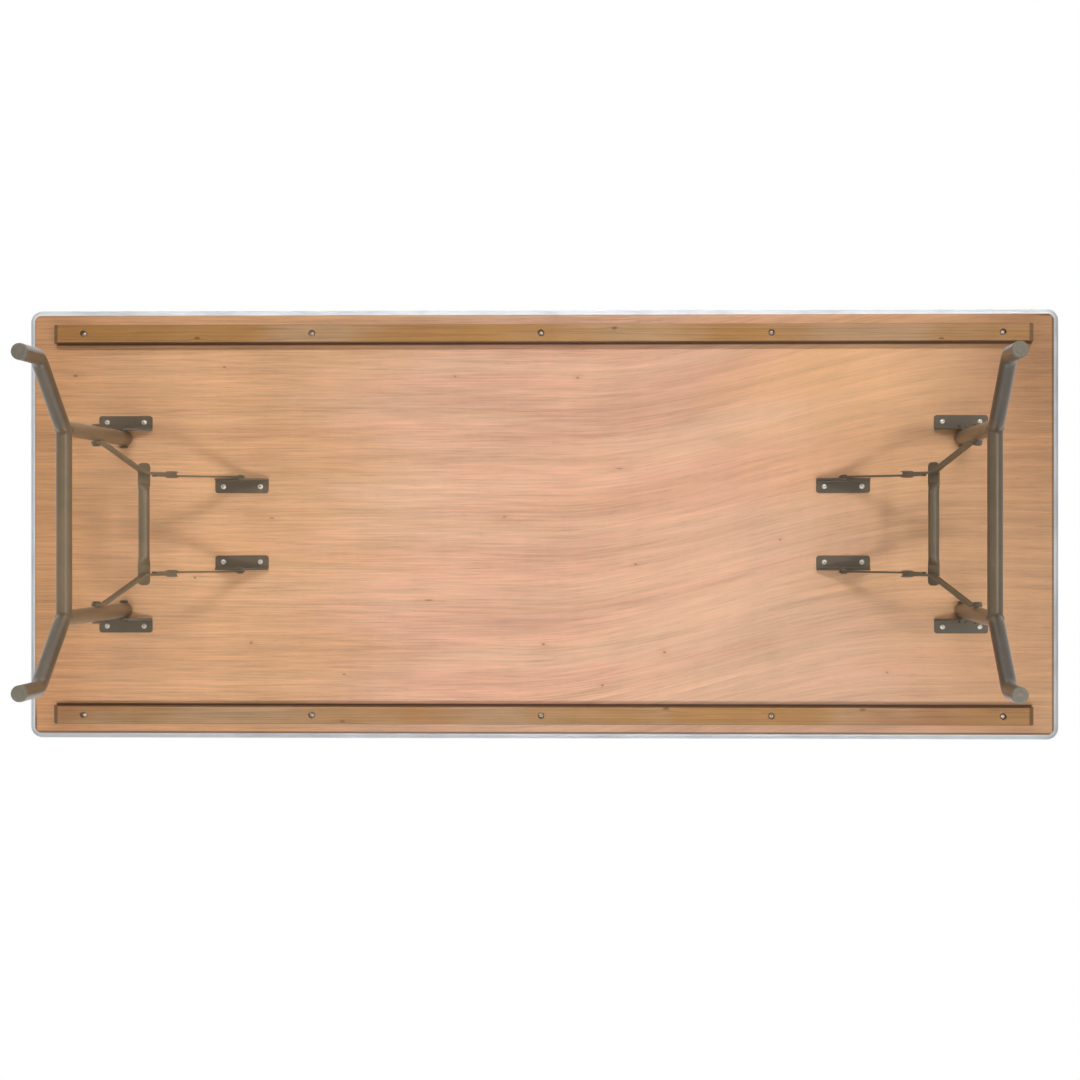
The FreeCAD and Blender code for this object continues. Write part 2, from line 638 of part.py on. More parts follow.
def flat_section(y):
    """Section across the tie bar where it is pressed flat."""
    half_width = TIE_FLAT_WIDTH / 2
    edge = TIE_FLAT_THICKNESS / 2
    corners = [Vector(-half_width, y, -edge), Vector(half_width, y, -edge),
               Vector(half_width, y, edge), Vector(-half_width, y, edge)]
    return Part.makePolygon(corners + corners[:1])


def round_section(y):
    """Section across the tie bar where it is round, in four arcs that match the flat section."""
    radius = TIE_DIAMETER / 2
    x = radius * math.cos(math.radians(TIE_SPLIT_ANGLE))
    z = radius * math.sin(math.radians(TIE_SPLIT_ANGLE))
    corners = [Vector(-x, y, -z), Vector(x, y, -z), Vector(x, y, z), Vector(-x, y, z)]
    middles = [Vector(0, y, -radius), Vector(radius, y, 0), Vector(0, y, radius), Vector(-radius, y, 0)]
    return Part.Wire([Part.Arc(first, middle, last).toShape()
                      for first, middle, last in zip(corners, middles, corners[1:] + corners[:1])])


def make_tie_bar():
    """Tube between the two lower links, pressed flat and rounded off at both ends."""
    tip_y = LOWER_LINK_Y + LOWER_LINK_THICKNESS + TIE_OVERHANG
    flat_y = UPPER_LINK_Y - TIE_FLAT_SETBACK
    round_y = flat_y - TIE_TAPER
    half_width = TIE_FLAT_WIDTH / 2
    low = -TIE_FLAT_THICKNESS / 2
    tip_points = [Vector(-half_width, flat_y, low), Vector(-half_width, tip_y, low),
                  Vector(half_width, tip_y, low), Vector(half_width, flat_y, low)]
    tip_edges = rounded_path(tip_points, TIE_TIP_RADIUS).Edges
    tip_edges.append(Part.makeLine(tip_points[-1], tip_points[0]))
    tip = prism(Part.Wire(tip_edges), Vector(0, 0, TIE_FLAT_THICKNESS))
    taper = Part.makeLoft([round_section(round_y), flat_section(flat_y)], True)
    barrel = prism(round_section(-round_y), Vector(0, 2 * round_y, 0))
    ends = [tip, taper, tip.mirror(ORIGIN, Y_AXIS), taper.mirror(ORIGIN, Y_AXIS)]
    bar = barrel.fuse(ends).removeSplitter()
    bore = TIE_DIAMETER / 2 - TIE_WALL
    bar = bar.cut(rod(bore, Vector(0, -round_y, 0), Vector(0, round_y, 0)))
    rise = LOWER_LINK_WIDTH / 2 + WELD_GAP + TIE_FLAT_THICKNESS / 2
    bar.translate(Vector(0, 0, rise))
    return in_brace(bar, UPPER_LINK_LENGTH + TIE_AT)


def make_tabletop():
    """Nodes of everything that is fixed to the top."""
    nodes = {
        "top_panel": make_top_panel(),
        "edge_trim": make_edge_trim(),
        "batten_screws": make_batten_screws(),
        "bracket_screws": make_bracket_screws(),
    }
    hinge_bracket = make_bracket(HINGE_X, HINGE_FLANGE_Y, 1, BOLT_RADIUS + BOLT_RUNNING_GAP)
    brace_bracket = make_bracket(BRACE_X, BRACE_FLANGE_Y, -1, RIVET_RADIUS + BOLT_RUNNING_GAP)
    hinge_nut = nut(Vector(HINGE_X, HINGE_NUT_Y, PIVOT_Z), -Y_AXIS)
    for side in SIDES:
        nodes[f"batten_{side}"] = make_batten(side)
    for end in ENDS:
        for side in SIDES:
            nodes[f"hinge_bracket_{end}_{side}"] = to_place(hinge_bracket, end, side)
            nodes[f"brace_bracket_{end}_{side}"] = to_place(brace_bracket, end, side)
        nodes[f"hinge_bolts_{end}"] = both_sides(make_hinge_bolt(), end)
        nodes[f"hinge_washers_{end}"] = both_sides(make_hinge_washer(), end)
        nodes[f"hinge_nuts_{end}"] = both_sides(hinge_nut, end)
        nodes[f"bracket_rivets_{end}"] = both_sides(make_bracket_rivet(), end)
    return nodes


def make_leg_sets():
    """Nodes of the two folding leg frames."""
    nodes = {}
    tube = make_leg_tube()
    crossbar = make_crossbar()
    plug = make_foot_plug()
    for end in ENDS:
        for side in SIDES:
            nodes[f"leg_tube_{end}_{side}"] = to_place(tube, end, side)
            nodes[f"foot_plug_{end}_{side}"] = to_place(plug, end, side)
        nodes[f"leg_crossbar_{end}"] = to_place(crossbar, end, "back")
        nodes[f"brace_bolts_{end}"] = both_sides(make_brace_bolt(), end)
    return nodes


def make_braces():
    """Nodes of the folding braces between the top and the legs."""
    nodes = {}
    upper = make_upper_link()
    lower = make_lower_link()
    tie = make_tie_bar()
    for end in ENDS:
        for side in SIDES:
            nodes[f"upper_link_{end}_{side}"] = to_place(upper, end, side)
            nodes[f"lower_link_{end}_{side}"] = to_place(lower, end, side)
        nodes[f"knuckle_rivets_{end}"] = both_sides(make_knuckle_rivet(), end)
        nodes[f"tie_bar_{end}"] = to_place(tie, end, "back")
        nodes[f"brace_nuts_{end}"] = both_sides(make_brace_nut(), end)
    return nodes


def main():
    """Build every piece and write one STEP file for each node."""
    os.makedirs("parts", exist_ok=True)
    for name, shape in {**make_tabletop(), **make_leg_sets(), **make_braces()}.items():
        shape.exportStep(f"parts/{name}.step")
        print(f"{name}: {len(shape.Solids)} solids, {shape.Volume / 1000:.2f} cm3, valid {shape.isValid()}")


main()
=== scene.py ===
"""Looks of a folding banquet table seen from below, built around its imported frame."""

import logging
import math
from dataclasses import dataclass
from enum import Enum
from typing import Any, Callable, Optional, Sequence, Union

import bmesh
import bpy
from mathutils import Matrix, Vector


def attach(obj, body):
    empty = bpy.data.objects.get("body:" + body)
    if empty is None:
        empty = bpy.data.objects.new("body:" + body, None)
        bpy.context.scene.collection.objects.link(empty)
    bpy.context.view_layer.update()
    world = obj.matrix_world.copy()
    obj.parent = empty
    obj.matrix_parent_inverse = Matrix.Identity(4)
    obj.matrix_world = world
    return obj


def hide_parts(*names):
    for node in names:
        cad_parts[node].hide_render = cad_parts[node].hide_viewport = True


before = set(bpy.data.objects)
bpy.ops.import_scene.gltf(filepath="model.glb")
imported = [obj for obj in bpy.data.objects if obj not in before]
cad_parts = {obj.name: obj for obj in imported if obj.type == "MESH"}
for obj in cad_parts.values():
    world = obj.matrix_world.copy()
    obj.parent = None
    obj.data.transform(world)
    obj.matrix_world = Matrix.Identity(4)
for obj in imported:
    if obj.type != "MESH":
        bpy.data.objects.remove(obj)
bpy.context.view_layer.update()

LOG = logging.getLogger("banquet_table")
MM = 0.001
LEVEL = 0.9
GOLDEN_ANGLE = 2.399

Colour = tuple[float, float, float, float]
Triple = tuple[float, float, float]

WHITE: Colour = (1.0, 1.0, 1.0, 1.0)


class Place(Enum):
    """A place whose name is part of the names of pieces."""

    @property
    def label(self) -> str:
        """The name in small letters."""
        return self.name.lower()


class End(Place):
    """Which end of the table a leg frame folds at."""

    LEFT = -1
    RIGHT = 1


class Side(Place):
    """Which long side of the table a piece is on."""

    FRONT = -1
    BACK = 1


class Part(Enum):
    """What is selected on a mesh, with the name of its list."""

    VERT = "verts"
    EDGE = "edges"
    FACE = "faces"


class Slot(Enum):
    """The record's material slots."""

    PLYWOOD = "plywood"
    BATTEN = "batten_wood"
    STRIP = "edge_strip"
    STEEL = "painted_steel"
    ZINC = "zinc"
    PLASTIC = "foot_plastic"


def display(red: int, green: int, blue: int) -> Colour:
    """Linear colour of an 8-bit display colour.

    Args:
        red: Red, 0 to 255.
        green: Green, 0 to 255.
        blue: Blue, 0 to 255.

    Returns:
        The linear colour with full opacity.
    """
    shares = [channel / 255 for channel in (red, green, blue)]
    linear = [s / 12.92 if s <= 0.04045 else ((s + 0.055) / 1.055) ** 2.4 for s in shares]
    return (linear[0], linear[1], linear[2], 1.0)


class Signal:
    """An output socket that takes part in sums, each of which adds a Math node."""

    def __init__(self, graph: "Graph", socket: bpy.types.NodeSocket) -> None:
        """Wrap a socket of a graph."""
        self.graph = graph
        self.socket = socket

    def __add__(self, other: "Value") -> "Signal":
        """Sum."""
        return self.graph.math("ADD", self, other)

    def __radd__(self, other: "Value") -> "Signal":
        """Sum, from the right."""
        return self.graph.math("ADD", other, self)

    def __sub__(self, other: "Value") -> "Signal":
        """Difference."""
        return self.graph.math("SUBTRACT", self, other)

    def __rsub__(self, other: "Value") -> "Signal":
        """Difference, from the right."""
        return self.graph.math("SUBTRACT", other, self)

    def __mul__(self, other: "Value") -> "Signal":
        """Product."""
        return self.graph.math("MULTIPLY", self, other)

    def __rmul__(self, other: "Value") -> "Signal":
        """Product, from the right."""
        return self.graph.math("MULTIPLY", other, self)

    def __truediv__(self, other: "Value") -> "Signal":
        """Quotient."""
        return self.graph.math("DIVIDE", self, other)

    def __rtruediv__(self, other: "Value") -> "Signal":
        """Quotient, from the right."""
        return self.graph.math("DIVIDE", other, self)


Value = Union[Signal, float]
Paint = Union[Signal, Colour]


class Graph:
    """A node tree that is written as expressions."""

    def __init__(self, tree: bpy.types.NodeTree) -> None:
        """Take over a tree and empty it."""
        self.tree = tree
        self.tree.nodes.clear()

    def node(self, kind: str, settings: Optional[dict[str, Any]] = None,
             sockets: Optional[dict[Union[str, int], Any]] = None, output: Union[str, int] = 0) -> Signal:
        """Add one node.

        Args:
            kind: Type of the node.
            settings: Its settings, set first.
            sockets: Values or links of its inputs, by name or number.
            output: The output that is wanted.

        Returns:
            The wanted output, or the first input of a node that has no output.
        """
        made = self.tree.nodes.new(kind)
        for name, setting in (settings or {}).items():
            setattr(made, name, setting)
        for key, value in (sockets or {}).items():
            if isinstance(value, Signal):
                self.tree.links.new(value.socket, made.inputs[key])
            else:
                made.inputs[key].default_value = value
        return Signal(self, made.outputs[output] if len(made.outputs) else made.inputs[0])

    def math(self, operation: str, first: Value, second: Value = 0.0) -> Signal:
        """One Math node."""
        return self.node("ShaderNodeMath", {"operation": operation}, {0: first, 1: second})

    def place(self) -> Signal:
        """Object coordinates, in metres."""
        return self.node("ShaderNodeTexCoord", output="Object")

    def axis(self, where: Signal, name: str) -> Signal:
        """One coordinate of a vector."""
        return self.node("ShaderNodeSeparateXYZ", None, {0: where}, name)

    def stretch(self, where: Signal, scale: Triple, shift: Triple = (0.0, 0.0, 0.0)) -> Signal:
        """Coordinates scaled along each axis, then moved."""
        return self.node("ShaderNodeMapping", None, {"Vector": where, "Scale": scale, "Location": shift})

    def noise(self, where: Signal, scale: Triple, shift: Triple = (0.0, 0.0, 0.0), detail: float = 2.0,
              roughness: float = 0.5, distortion: float = 0.0) -> Signal:
        """Smooth noise.

        Args:
            where: Coordinates.
            scale: Waves per metre along each axis.
            shift: Moves the pattern.
            detail: Number of finer layers.
            roughness: Strength of the finer layers.
            distortion: How far the pattern is warped.

        Returns:
            A value from 0 to 1, about 0.5 on average.
        """
        sockets = {"Vector": self.stretch(where, scale, shift), "Scale": 1.0, "Detail": detail,
                   "Roughness": roughness, "Distortion": distortion}
        return self.node("ShaderNodeTexNoise", {"noise_dimensions": "3D"}, sockets)

    def band(self, value: Signal, low: float, high: float) -> Signal:
        """Smooth step from 0 at low to 1 at high, where low may be the greater."""
        start, stop = (low, high) if low < high else (high, low)
        step = self.node("ShaderNodeMapRange", {"interpolation_type": "SMOOTHSTEP"},
                         {"Value": value, "From Min": start, "From Max": stop})
        return step if low < high else 1.0 - step

    def spot(self, along: Signal, across: Signal, radius: float, length: float) -> Signal:
        """Distance from an oval's middle, where its rim is at 1.

        Args:
            along: Distance along its length.
            across: Distance across it.
            radius: Half of its width.
            length: Its length as a multiple of its width.

        Returns:
            The distance.
        """
        right = along / (length * radius)
        up = across / radius
        return self.math("SQRT", right * right + up * up)

    def blend(self, share: Value, first: Paint, second: Paint) -> Signal:
        """Colour between two colours."""
        return self.node("ShaderNodeMix", {"data_type": "RGBA", "clamp_factor": True},
                         {0: share, 6: first, 7: second}, 2)

    def shade(self, colour: Paint, strength: Value) -> Signal:
        """Colour made lighter or darker."""
        start = colour if isinstance(colour, Signal) else colour[:3]
        return self.node("ShaderNodeVectorMath", {"operation": "SCALE"}, {0: start, "Scale": strength})

    def bump(self, height: Signal, depth: float, strength: float = 1.0) -> Signal:
        """Normal that follows a height, given the depth in metres of a height of 1."""
        return self.node("ShaderNodeBump", None, {"Height": height, "Distance": depth, "Strength": strength})

    def surface(self, colour: Paint, roughness: Value, normal: Optional[Signal] = None,
                **constants: Any) -> None:
        """Finish the graph as a material.

        Args:
            colour: Base colour.
            roughness: Roughness.
            normal: Normal, where there is a bump.
            constants: Other inputs, with words joined by underscores.
        """
        sockets: dict[Union[str, int], Any] = {"Base Color": colour, "Roughness": roughness}
        if normal is not None:
            sockets["Normal"] = normal
        sockets.update({name.replace("_", " "): value for name, value in constants.items()})
        shader = self.node("ShaderNodeBsdfPrincipled", None, sockets)
        self.node("ShaderNodeOutputMaterial", None, {"Surface": shader})


@dataclass(frozen=True)
class Finish:
    """A finish by name, whose material is made once."""

    name: str
    slot: Slot

    def paint(self, graph: Graph) -> None:
        """Write the finish's own nodes."""
        raise NotImplementedError

    def material(self) -> bpy.types.Material:
        """The material of this finish."""
        made = bpy.data.materials.get(self.name)
        if made is None:
            made = bpy.data.materials.new(self.name)
            made.use_nodes = True
            self.paint(Graph(made.node_tree))
        return made


@dataclass(frozen=True)
class VeneerPlywood(Finish):
    """Rotary-cut veneer with its grain along the table, clear lacquered."""

    pale: Colour = display(222, 176, 143)
    pink: Colour = display(219, 164, 135)
    amber: Colour = display(216, 164, 116)
    brown: Colour = display(196, 145, 102)
    umber: Colour = display(204, 142, 88)
    # Colour of the painted shade along the battens and the edge strip.
    speck: Colour = display(104, 62, 38)
    grime: Colour = display(70, 38, 14)
    knots: tuple[tuple[float, float, float, float], ...] = (
        (0.064, -0.260, 0.0030, 1.4), (0.218, 0.227, 0.0032, 1.2), (0.108, 0.286, 0.0026, 1.4),
        (0.138, -0.099, 0.0016, 6.0), (0.167, 0.071, 0.0022, 2.0), (0.423, 0.027, 0.0026, 1.3),
        (-0.154, -0.263, 0.0024, 1.2), (-0.481, -0.011, 0.0018, 4.0), (-0.619, 0.095, 0.0030, 1.2),
        (-0.518, 0.211, 0.0034, 1.2), (0.003, 0.213, 0.0034, 1.3), (-0.352, 0.267, 0.0018, 3.0),
        (-0.201, 0.135, 0.0022, 5.0), (-0.066, -0.013, 0.0020, 2.5), (-0.566, -0.280, 0.0022, 2.0),
        (-0.833, -0.265, 0.0036, 1.8), (0.612, 0.262, 0.0022, 1.6))
    face_step: float = 40.0
    middle_height: float = 0.7525
    half_length: float = 0.9055
    half_width: float = 0.372
    batten_edge: float = 0.322
    batten_end: float = 0.867
    blur: float = 0.002

    def seams(self, graph: Graph, where: Signal) -> Signal:
        """Painted shade along the inner foot of the battens and along the edge strip, wider and darker on
        the back and right edges.

        Args:
            graph: The material's graph.
            where: Object coordinates.

        Returns:
            A share from 0 to 1.
        """
        along = graph.math("ABSOLUTE", graph.axis(where, "X"))
        across = graph.math("ABSOLUTE", graph.axis(where, "Y"))
        below = graph.band(graph.axis(where, "Z"), self.middle_height, self.middle_height - self.blur)
        # Painted shade along the inner foot of each batten.
        by_batten = (graph.band(across, self.batten_edge - 0.0046, self.batten_edge - 0.0018)
                     * graph.band(across, self.batten_edge + 0.004, self.batten_edge + 0.002)
                     * graph.band(along, self.batten_end + 0.001, self.batten_end - 0.002))
        # Painted shade at the edge strip, wider and darker on the back and right edges.
        shaded_edges = graph.math("MAXIMUM", graph.band(graph.axis(where, "Y"), 0.3, 0.36),
                           graph.band(graph.axis(where, "X"), 0.86, 0.895))
        to_edge = (graph.math("MAXIMUM", along - self.half_length, across - self.half_width)
                   + shaded_edges * below * 0.0016)
        by_edge = graph.band(to_edge, -0.0028, -0.0006) * (0.3 + shaded_edges * below * 0.4)
        return by_batten * below * 0.95 + by_edge

    def pin_knots(self, graph: Graph, along: Signal, across: Signal) -> tuple[Signal, Signal]:
        """Small knots of the lower veneer and the stained grain round them.

        Args:
            graph: The material's graph.
            along: X in metres.
            across: Y in metres.

        Returns:
            Shares from 0 to 1 of the knots and of their stains.
        """
        knot: Value = 0.0
        stain: Value = 0.0
        for x, y, radius, length in self.knots:
            away = graph.spot(along - x, across - y, radius, length)
            knot = graph.math("MAXIMUM", knot, graph.band(away, 1.0, 0.2))
            stain = graph.math("MAXIMUM", stain, graph.band(away, 4.5, 0.8))
        return knot, stain

    def broad_tones(self, graph: Graph, along: Signal, across: Signal) -> tuple[Signal, Signal]:
        """Broad lighter and darker parts of the veneer towards its two ends: partly the veneer's own tone,
        partly painted shade where the light falls off towards the ends.

        Args:
            graph: The material's graph.
            along: X in metres.
            across: Y in metres.

        Returns:
            What is added to the lightness, and the share of umber.
        """
        left_part = graph.band(along, -0.48, -0.6) * graph.band(along, -0.88, -0.78)
        right_part = graph.band(along, 0.28, 0.42) * graph.band(along, 0.7, 0.58)
        right_end = graph.band(along, 0.7, 0.9)
        front = graph.band(across, 0.12, -0.28)
        tilt = (0.1 * graph.band(across, -0.06, -0.2)
                - 0.09 * graph.band(across, -0.06, 0.04) * graph.band(across, 0.3, 0.18))
        # The right end is painted darker, more at the front: partly the veneer's tone, partly painted shade.
        lighter = 0.1 * left_part + tilt * right_part - right_end * (0.2 + 0.12 * front)
        return lighter, graph.band(along, -0.72, -0.88) * 0.45 + right_end * (0.1 + 0.6 * front)

    def paint(self, graph: Graph) -> None:
        """Zones of colour, growth lines that bow towards one end, fibres, pores and pin knots."""
        where = graph.place()
        along = graph.axis(where, "X")
        across = graph.axis(where, "Y")
        bow = across + 0.13 * graph.band(along + 0.25 * across, 0.02, 0.72)
        sheet = graph.node("ShaderNodeCombineXYZ", None,
                           {"X": along, "Y": bow, "Z": graph.axis(where, "Z") * self.face_step})
        drift = graph.noise(sheet, (1.3, 6.0, 1.0), detail=3.0, roughness=0.6) - 0.5
        tone = graph.noise(sheet, (1.2, 9.0, 1.0), (4.0, 2.2, 0.0), detail=4.0, roughness=0.6)
        broad = graph.noise(sheet, (0.8, 17.0, 1.0), (2.0, 7.0, 0.0), detail=3.0, roughness=0.6)
        streak = graph.noise(sheet, (1.6, 62.0, 1.0), (0.0, 5.0, 0.0), detail=4.0, roughness=0.7)
        fibre = graph.noise(sheet, (10.0, 340.0, 1.0), detail=2.0, roughness=0.6)
        fine = graph.noise(sheet, (30.0, 1300.0, 1.0), (0.0, 2.0, 0.0), detail=1.0)
        curl = graph.noise(sheet, (46.0, 7.0, 1.0), (6.0, 0.0, 0.0), detail=2.0)
        blotch = graph.noise(sheet, (3.4, 8.0, 1.0), (1.4, 3.1, 0.0), detail=3.0, roughness=0.55)
        blotch = graph.band(blotch, 0.46, 0.7)
        pore = graph.band(graph.noise(sheet, (60.0, 980.0, 1.0), (9.0, 0.0, 0.0), detail=0.0), 0.66, 0.76)
        dash = graph.band(graph.noise(sheet, (11.0, 260.0, 1.0), (2.0, 3.0, 0.0), detail=1.0), 0.66, 0.76)
        height = bow * 26.0 + 9.0 * graph.noise(sheet, (0.9, 4.5, 1.0), (8.4, 1.2, 0.0), detail=3.0)
        ring = graph.math("FRACT", height)
        late_wood = graph.band(ring, 0.1, 0.9) - graph.band(ring, 0.9, 1.0)
        shown = 0.4 + 0.6 * graph.band(along + drift * 0.5, 0.05, 0.4)
        left = graph.band(along + drift * 0.7, -0.16, -0.5)
        right = graph.band(along + drift * 0.6 - 0.5 * across, 0.36, 0.74)
        base = graph.blend(graph.band(tone, 0.44, 0.62) * 0.8, self.pale, self.pink)
        base = graph.blend(left * 0.8 + right * 0.85, base, self.amber)
        lighter, browner = self.broad_tones(graph, along, across)
        base = graph.blend(browner, base, self.umber)
        crisp = 1.0 - 0.42 * graph.band(along, 0.05, 0.3)
        base = graph.blend(graph.band(broad, 0.5, 0.78) * 0.4 * crisp, base, self.brown)
        light = (1.0 + 0.44 * (streak - 0.5) + 0.7 * crisp * (fibre - 0.5)
                 + 0.1 * (fine - 0.5) + 0.07 * (curl - 0.5) + 0.16 * crisp * (0.5 - broad)
                 - 0.05 * (late_wood - 0.5) * shown - 0.1 * pore - 0.08 * dash
                 - 0.09 * (blotch - 0.3) + lighter)
        knot, stain = self.pin_knots(graph, along, across)
        upper = graph.band(graph.axis(where, "Z"), self.middle_height - self.blur,
                           self.middle_height + self.blur)
        colour = graph.blend(stain * (1.0 - upper) * 0.2, graph.shade(base, light), self.brown)
        colour = graph.blend(knot * (1.0 - upper) * 0.6, colour, self.speck)
        # Painted shade along the battens and the edge strip.
        colour = graph.blend(self.seams(graph, where), colour, self.grime)
        roughness = 0.47 + 0.16 * (fibre - 0.5) - 0.1 * upper
        relief = fibre * 0.5 + fine * 0.2 - pore * 0.5 - late_wood * 0.15
        graph.surface(colour, roughness, graph.bump(relief, 0.00035, 0.5), Specular_IOR_Level=0.35)


@dataclass(frozen=True)
class BattenTimber(Finish):
    """Varnished softwood with its grain along the batten, and a few knots."""

    golden: Colour = display(171, 121, 61)
    tan: Colour = display(180, 140, 99)
    russet: Colour = display(160, 104, 56)
    dark: Colour = display(96, 58, 30)
    # Colour of the painted shade at the batten's edges and ends.
    grime: Colour = display(62, 34, 12)
    inner_face: float = 0.322
    outer_face: float = 0.354
    end: float = 0.867
    knot_length: float = 2.0
    knots: tuple[Triple, ...] = ((0.221, 0.325, 0.0032), (0.567, 0.327, 0.003), (-0.352, 0.349, 0.0028),
                                 (-0.61, -0.33, 0.003), (0.13, -0.346, 0.0028), (0.705, -0.327, 0.0026))

    def paint(self, graph: Graph) -> None:
        """Growth lines that swing round the knots, and tones that change along the length."""
        where = graph.place()
        along = graph.axis(where, "X")
        across = graph.axis(where, "Y")
        knot: Value = 0.0
        swing: Value = 0.0
        for x, y, radius in self.knots:
            away = graph.spot(along - x, across - y, radius, self.knot_length)
            knot = graph.math("MAXIMUM", knot, graph.band(away, 1.3, 0.4))
            swing = swing + graph.band(away, 5.0, 0.0) * radius
        bent = graph.node("ShaderNodeCombineXYZ", None,
                          {"X": along, "Y": across + swing, "Z": graph.axis(where, "Z")})
        tone = graph.noise(where, (3.4, 4.0, 4.0), detail=3.0)
        second = graph.noise(where, (2.6, 6.0, 6.0), (5.0, 2.0, 0.0), detail=3.0)
        third = graph.noise(where, (11.0, 40.0, 40.0), (1.0, 6.0, 0.0), detail=3.0)
        growth = graph.noise(bent, (0.9, 74.0, 74.0), detail=2.0, distortion=0.2)
        line = graph.math("FRACT", growth * 7.0)
        late_wood = graph.band(line, 0.3, 0.86) - graph.band(line, 0.88, 1.0)
        fibre = graph.noise(bent, (12.0, 620.0, 620.0), detail=3.0, roughness=0.6)
        pore = graph.band(graph.noise(bent, (34.0, 900.0, 900.0), (3.0, 0.0, 0.0), detail=0.0), 0.66, 0.78)
        base = graph.blend(graph.band(tone, 0.4, 0.6), self.golden, self.tan)
        base = graph.blend(graph.band(second, 0.46, 0.64) * 0.75, base, self.russet)
        light = 1.0 + 0.3 * (fibre - 0.5) + 0.34 * (third - 0.5) - 0.2 * late_wood - 0.12 * pore
        colour = graph.blend(knot * 0.7, graph.shade(base, light), self.dark)
        # Painted shade: dark lines along the batten's inner and outer edges, and a dark band at each end.
        out = graph.math("ABSOLUTE", across)
        rim = (graph.band(out, self.inner_face + 0.0022, self.inner_face + 0.0002)
               + 0.4 * graph.band(out, self.outer_face - 0.0016, self.outer_face - 0.0002))
        end_shade = graph.band(graph.math("ABSOLUTE", along), self.end - 0.0095, self.end - 0.006)
        colour = graph.blend(graph.math("MAXIMUM", rim * 0.8, end_shade * 0.55), colour, self.grime)
        relief = fibre * 0.5 - late_wood * 0.4 - pore * 0.4
        graph.surface(colour, 0.42 + 0.2 * (fibre - 0.5), graph.bump(relief, 0.0004, 0.6),
                      Specular_IOR_Level=0.35)


@dataclass(frozen=True)
class PowderCoat(Finish):
    """Semi-gloss powder coat on steel, with orange peel, rubbed marks and a little dust."""

    body: Colour = display(107, 90, 67)
    deep: Colour = display(97, 82, 60)
    dust: Colour = display(152, 136, 112)
    bracket_height: float = 0.71
    knee_height: float = 0.265

    def paint(self, graph: Graph) -> None:
        """Fine orange peel over an uneven colour, with painted light that makes the left frame paler and
        painted shade that darkens the brackets and the shins.
        """
        where = graph.place()
        peel = graph.noise(where, (520.0, 520.0, 520.0), detail=2.0, roughness=0.6)
        grain = graph.noise(where, (2400.0, 2400.0, 2400.0), detail=1.0)
        cloud = graph.noise(where, (17.0, 17.0, 17.0), detail=4.0, roughness=0.6)
        rub = graph.noise(where, (70.0, 70.0, 26.0), (3.0, 1.0, 4.0), detail=5.0, roughness=0.7)
        rubbed = graph.band(rub, 0.58, 0.74)
        base = graph.blend(graph.band(cloud, 0.32, 0.7), self.deep, self.body)
        height = graph.axis(where, "Z")
        upper = graph.band(height, self.bracket_height - 0.05, self.bracket_height)
        shin_shade = graph.band(height, self.knee_height, self.knee_height - 0.03)
        # Painted light on the left frame, and painted shade on the brackets and below the knees.
        pale = graph.band(graph.axis(where, "X"), 0.3, -0.3) * (0.62 - 0.45 * upper - 0.16 * shin_shade)
        base = graph.shade(base, 1.0 + 0.14 * (grain - 0.5) + 0.1 * (peel - 0.5)
                           + pale - 0.28 * upper - 0.42 * shin_shade)
        colour = graph.blend(rubbed * 0.18, base, self.dust)
        roughness = 0.33 + 0.1 * (cloud - 0.5) + 0.14 * rubbed
        graph.surface(colour, roughness, graph.bump(peel * 0.8 + grain * 0.2, 0.0002, 0.55),
                      Specular_IOR_Level=0.42)


@dataclass(frozen=True)
class ZincPlate(Finish):
    """Bright zinc plate, with painted shade in the recess of a screw."""

    bright: Colour = display(214, 208, 196)
    dull: Colour = display(178, 171, 157)
    # Colour of the painted shade in a screw's recess.
    grime: Colour = display(48, 44, 40)

    def paint(self, graph: Graph) -> None:
        """Spangled plate with fine scratches, and painted shade where the piece has a recess."""
        where = graph.place()
        recess = graph.node("ShaderNodeAttribute", {"attribute_name": "recess"}, None, "Fac")
        spangle = graph.noise(where, (900.0, 900.0, 900.0), detail=2.0)
        cloud = graph.noise(where, (240.0, 240.0, 240.0), detail=3.0)
        scratch = graph.noise(where, (4000.0, 300.0, 700.0), detail=1.0)
        base = graph.blend(graph.band(cloud, 0.38, 0.66), self.bright, self.dull)
        base = graph.shade(base, 1.0 + 0.16 * (spangle - 0.5))
        # Painted shade in the recess.
        colour = graph.blend(recess * 0.7, base, self.grime)
        roughness = 0.36 + 0.2 * (cloud - 0.5) + 0.3 * recess
        graph.surface(colour, roughness, graph.bump(scratch, 0.00005, 0.5), Metallic=0.55)


